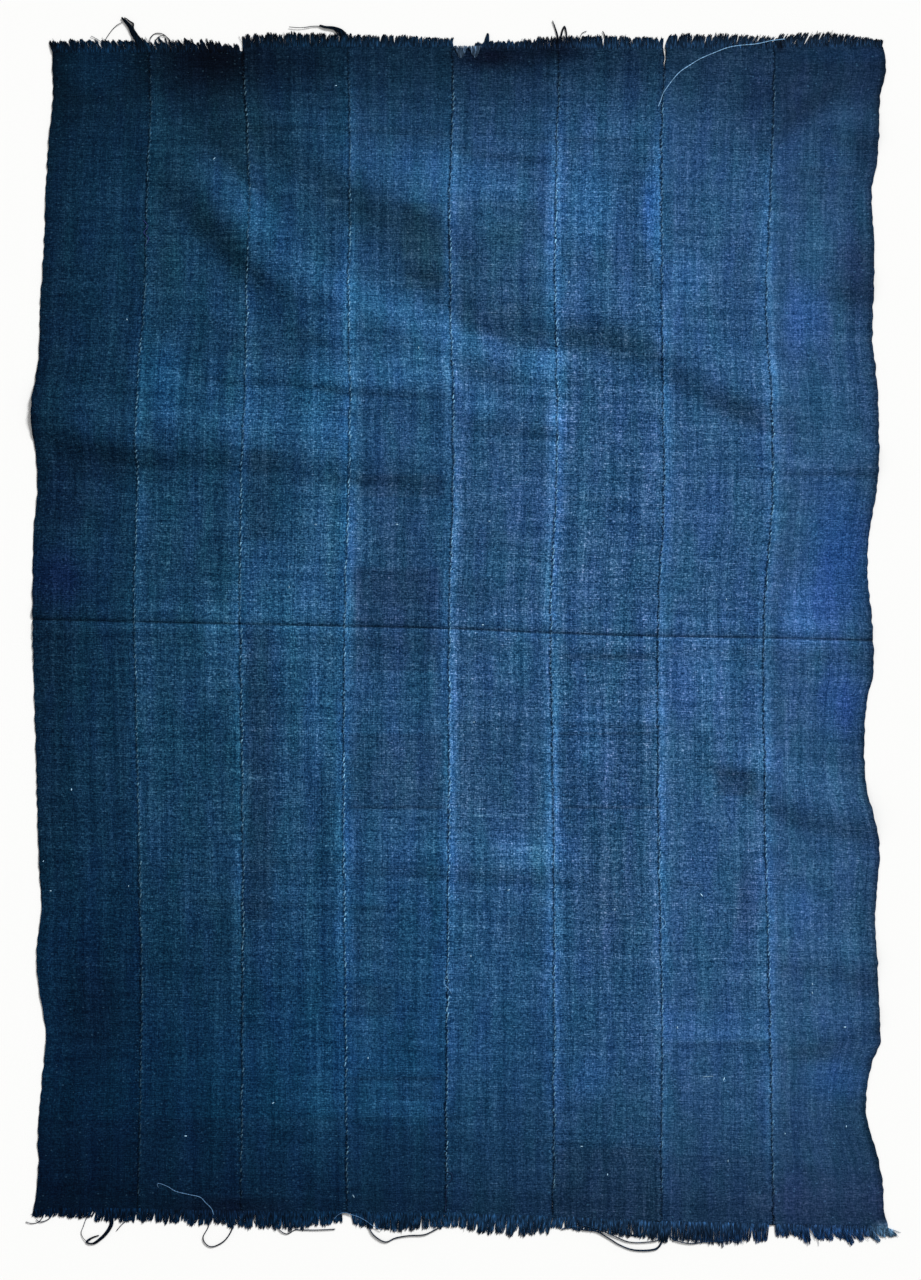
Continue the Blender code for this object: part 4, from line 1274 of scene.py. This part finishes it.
seams = [buildSeam(side) for side in range(1, stripCount)]
print("seams: %d lines of whip stitches" % len(seams))


# Threads that lie loose on the cloth: colour, radius and path
LooseThread = namedtuple("LooseThread", "name colour radius path")
looseThreads = [LooseThread(*row) for row in (
    ("long_loose_thread", "7ba6cb", 0.52, (
        (402, 741), (385, 739), (367, 735), (346, 733), (330, 730), (312, 723), (296, 716),
        (283, 708), (271, 700), (262, 690), (256, 682), (250, 673), (247, 664), (244, 657))),
    ("hooked_loose_thread", "4f7193", 0.45, (
        (-378, -688), (-379, -684), (-376, -683), (-366, -687), (-356, -693), (-339, -697),
        (-326, -700), (-319, -707), (-312, -714), (-309, -722))),
    ("low_loose_thread", "44668a", 0.42, (
        (-160, -728), (-154, -722), (-146, -719), (-137, -722), (-128, -725), (-119, -730), (-112, -735),
        (-100, -741))),
    ("seam_one_thread", "2e3a6e", 0.42, (
        (-397, 516), (-391, 508), (-396, 500), (-390, 493), (-394, 484))),
    ("seam_four_loop", "6f9fc6", 0.30, (
        (-16, -422), (-21, -428), (-22, -435), (-17, -440), (-13, -447))),
    ("seam_four_foot", "1c2c4a", 0.36, (
        (-20, -668), (-13, -671), (-13, -678), (-19, -686), (-20, -704), (-21, -718))),
    ("seam_six_loop", "7fb0d8", 0.28, (
        (244, -349), (251, -354), (253, -361), (247, -367))),
)]


looseSizes = {
    "steps": 5,
    "sunk": 0.2,             # share of its radius that a thread sinks into the cloth
    "tip": 0.6,              # radius of its two tips, as a share of its own
}


def buildLooseThread(loose):
    path = smoothPath([(x, y, 0) for x, y in loose.path], looseSizes["steps"])
    path[:, 2] = topSurface(path[:, 0], path[:, 1]) + loose.radius * (1 - looseSizes["sunk"])
    radius = np.full(len(path), loose.radius)
    radius[[0, -1]] *= looseSizes["tip"]
    mesh = threadMesh(loose.name, [path], [radius], 2)
    paint(mesh, linear(loose.colour))
    return addPiece(mesh, threadMaterial)


# Knots of undyed fibre in the yarn, each a short pale slub lying in the weave: across, along, the
# turn of its length from straight in degrees, and its length
cottonKnots = (
    (-308, 592, 40, 3.4), (-157, 683, 80, 2.6), (133, 438, 20, 2.6), (-417, 392, 0, 2.4),
    (-54, 357, 0, 2.6), (-182, 137, 90, 3.0), (-81, 137, 90, 3.0), (34, 141, 70, 2.6),
    (-215, 59, 0, 2.8), (26, 12, 90, 2.6), (329, 44, 0, 2.4), (15, -109, 90, 2.6),
    (-486, -193, 0, 2.8), (-521, -282, 30, 2.8), (-415, -313, 0, 2.4), (-512, -319, 90, 2.4),
    (58, -318, 60, 3.2), (298, -324, -40, 4.6), (190, -342, 0, 2.6), (11, -400, 0, 2.6),
    (436, -435, 0, 3.0), (436, -446, 0, 3.0), (476, -488, 90, 3.6), (268, -489, 0, 3.0),
    (-117, -527, 0, 2.4), (326, -553, 20, 4.4), (306, -550, 86, 13.0), (-235, -583, 60, 3.2),
    (478, -612, 0, 2.6), (402, -621, 0, 2.6), (-344, -624, 90, 3.4), (149, -637, 90, 3.2),
    (331, -655, 0, 2.8), (181, -672, 0, 2.6), (-135, -699, -30, 4.2),
)
knotLook = {
    "radius": 0.62,
    "swell": (0.3, 0.85, 1, 0.85, 0.3),  # share of it from end to end
    "longest": 6,            # a longer one is a length of pale yarn, even and thin
    "yarn": 0.38,
    "rise": 0.1,
    "colour": "9cc2da",
}


def buildKnots():
    look = knotLook
    swell = np.array(look["swell"])
    paths = []
    radii = []
    for across, along, turn, length in cottonKnots:
        way = math.radians(turn)
        steps = np.linspace(-0.5, 0.5, len(swell)) * length
        x, y = across + steps * math.sin(way), along + steps * math.cos(way)
        paths.append(np.column_stack([x, y, topSurface(x, y) + look["rise"]]))
        even = np.full(len(swell), look["yarn"])
        radii.append(look["radius"] * (swell if length < look["longest"] else even))
    mesh = threadMesh("cotton_knots", paths, radii, 1)
    paint(mesh, linear(look["colour"]))
    return addPiece(mesh, threadMaterial)


# Warp ends at the top of strip five that are folded back over the cloth, in two lobes
foldedWarp = {
    "colour": "3a4d62",
    "radius": 0.42,
    "lobes": ((-1.5, 8.5, 13), (16, 8, 12.5)),  # middle across, half width, length
    "top": 731,
    "loft": 1.3,
    "perMillimetre": 3,      # how many for each millimetre of a lobe's half width
    "strayAcross": 0.3,
    "strayAlong": 0.8,
    "strayUp": (-0.3, 0.4),
    "lengths": (0.85, 1.05),
    "fan": 3,                # how far the outermost ones draw in towards the middle
    "steps": 3,
}


def buildFoldedWarp():
    look = foldedWarp
    rng = np.random.default_rng(seeds["foldedWarp"])
    paths = []
    for middle, half, length in look["lobes"]:
        for share in np.linspace(-1, 1, int(half * look["perMillimetre"])):
            x = middle + share * half + rng.uniform(-look["strayAcross"], look["strayAcross"])
            reach = length * math.sqrt(1.05 - share * share) * rng.uniform(*look["lengths"])
            start = look["top"] + rng.uniform(-look["strayAlong"], look["strayAlong"])
            lift = look["loft"] + rng.uniform(*look["strayUp"])
            fan = share * look["fan"]
            path = smoothPath([
                (x, start - 1, 0.3), (x, start + 0.8, 0.6 * lift), (x, start, lift),
                (x - fan / 2, start - reach / 2, lift), (x - fan, start - reach, 0.5)], look["steps"])
            path[:, 2] += topSurface(path[:, 0], np.minimum(path[:, 1], look["top"] - 2))
            paths.append(path)
    radii = [np.full(len(path), look["radius"]) for path in paths]
    mesh = threadMesh("folded_back_warp", paths, radii, 0)
    paint(mesh, linear(look["colour"]))
    return addPiece(mesh, fringeMaterial)


buildFoldedWarp()
buildKnots()
threads = [buildLooseThread(loose) for loose in looseThreads]
print("threads: %d lying on the cloth, %d knots" % (len(threads), len(cottonKnots)))


# A pale floor, a soft key from the upper right and pale light from all round
stage = {
    "floorSize": 120.0,
    "floorColour": "f4f4f3",
    "floorRoughness": 0.9,
    "keyTurn": 32,           # degrees clockwise from the cloth's top
    "keyHeight": 33,         # degrees above the floor
    "keyAngle": 16,
    "keyShare": 0.62,        # of the light on a level surface
    "light": 1.08,
}


def buildStage():
    # Matt white studio paper: an even pale ground that takes the cloth's soft shadow
    mesh = gridMesh("floor", 1, 1, stage["floorSize"] / 2)
    material, shader = newMaterial("matt white studio paper", stage["floorRoughness"])
    shader.inputs["Base Color"].default_value = (*linear(stage["floorColour"]), 1)
    mesh.materials.append(material)
    addObject("floor", mesh)


def buildLights():
    sun = bpy.data.lights.new("key", "SUN")
    height = math.radians(stage["keyHeight"])
    turn = math.radians(stage["keyTurn"])
    sun.energy = math.pi * stage["light"] * stage["keyShare"] / math.sin(height)
    sun.angle = math.radians(stage["keyAngle"])
    towards = Vector((
        math.sin(turn) * math.cos(height), math.cos(turn) * math.cos(height), math.sin(height)))
    addObject("key", sun).rotation_euler = towards.to_track_quat("Z", "Y").to_euler()
    world = bpy.data.worlds.new("studio")
    world.use_nodes = True
    sky = world.node_tree.nodes["Background"]
    sky.inputs["Color"].default_value = (1, 1, 1, 1)
    sky.inputs["Strength"].default_value = stage["light"] * (1 - stage["keyShare"])
    bpy.context.scene.world = world
    bpy.context.scene.view_settings.view_transform = "Standard"


view = {
    "distance": 3.5,
    "longSide": 1593.6,      # millimetres of the surface that the picture's long side takes in
    "aim": (-1.9, -6.8),
    "sensor": 36,
}


def buildCamera():
    lens = bpy.data.cameras.new("camera")
    lens.sensor_width = view["sensor"]
    lens.lens = view["sensor"] * view["distance"] / (view["longSide"] * mm)
    camera = addObject("camera", lens)
    camera.location = (view["aim"][0] * mm, view["aim"][1] * mm, view["distance"])
    bpy.context.scene.camera = camera


buildStage()
buildLights()
buildCamera()
print("stage, lights and camera placed")
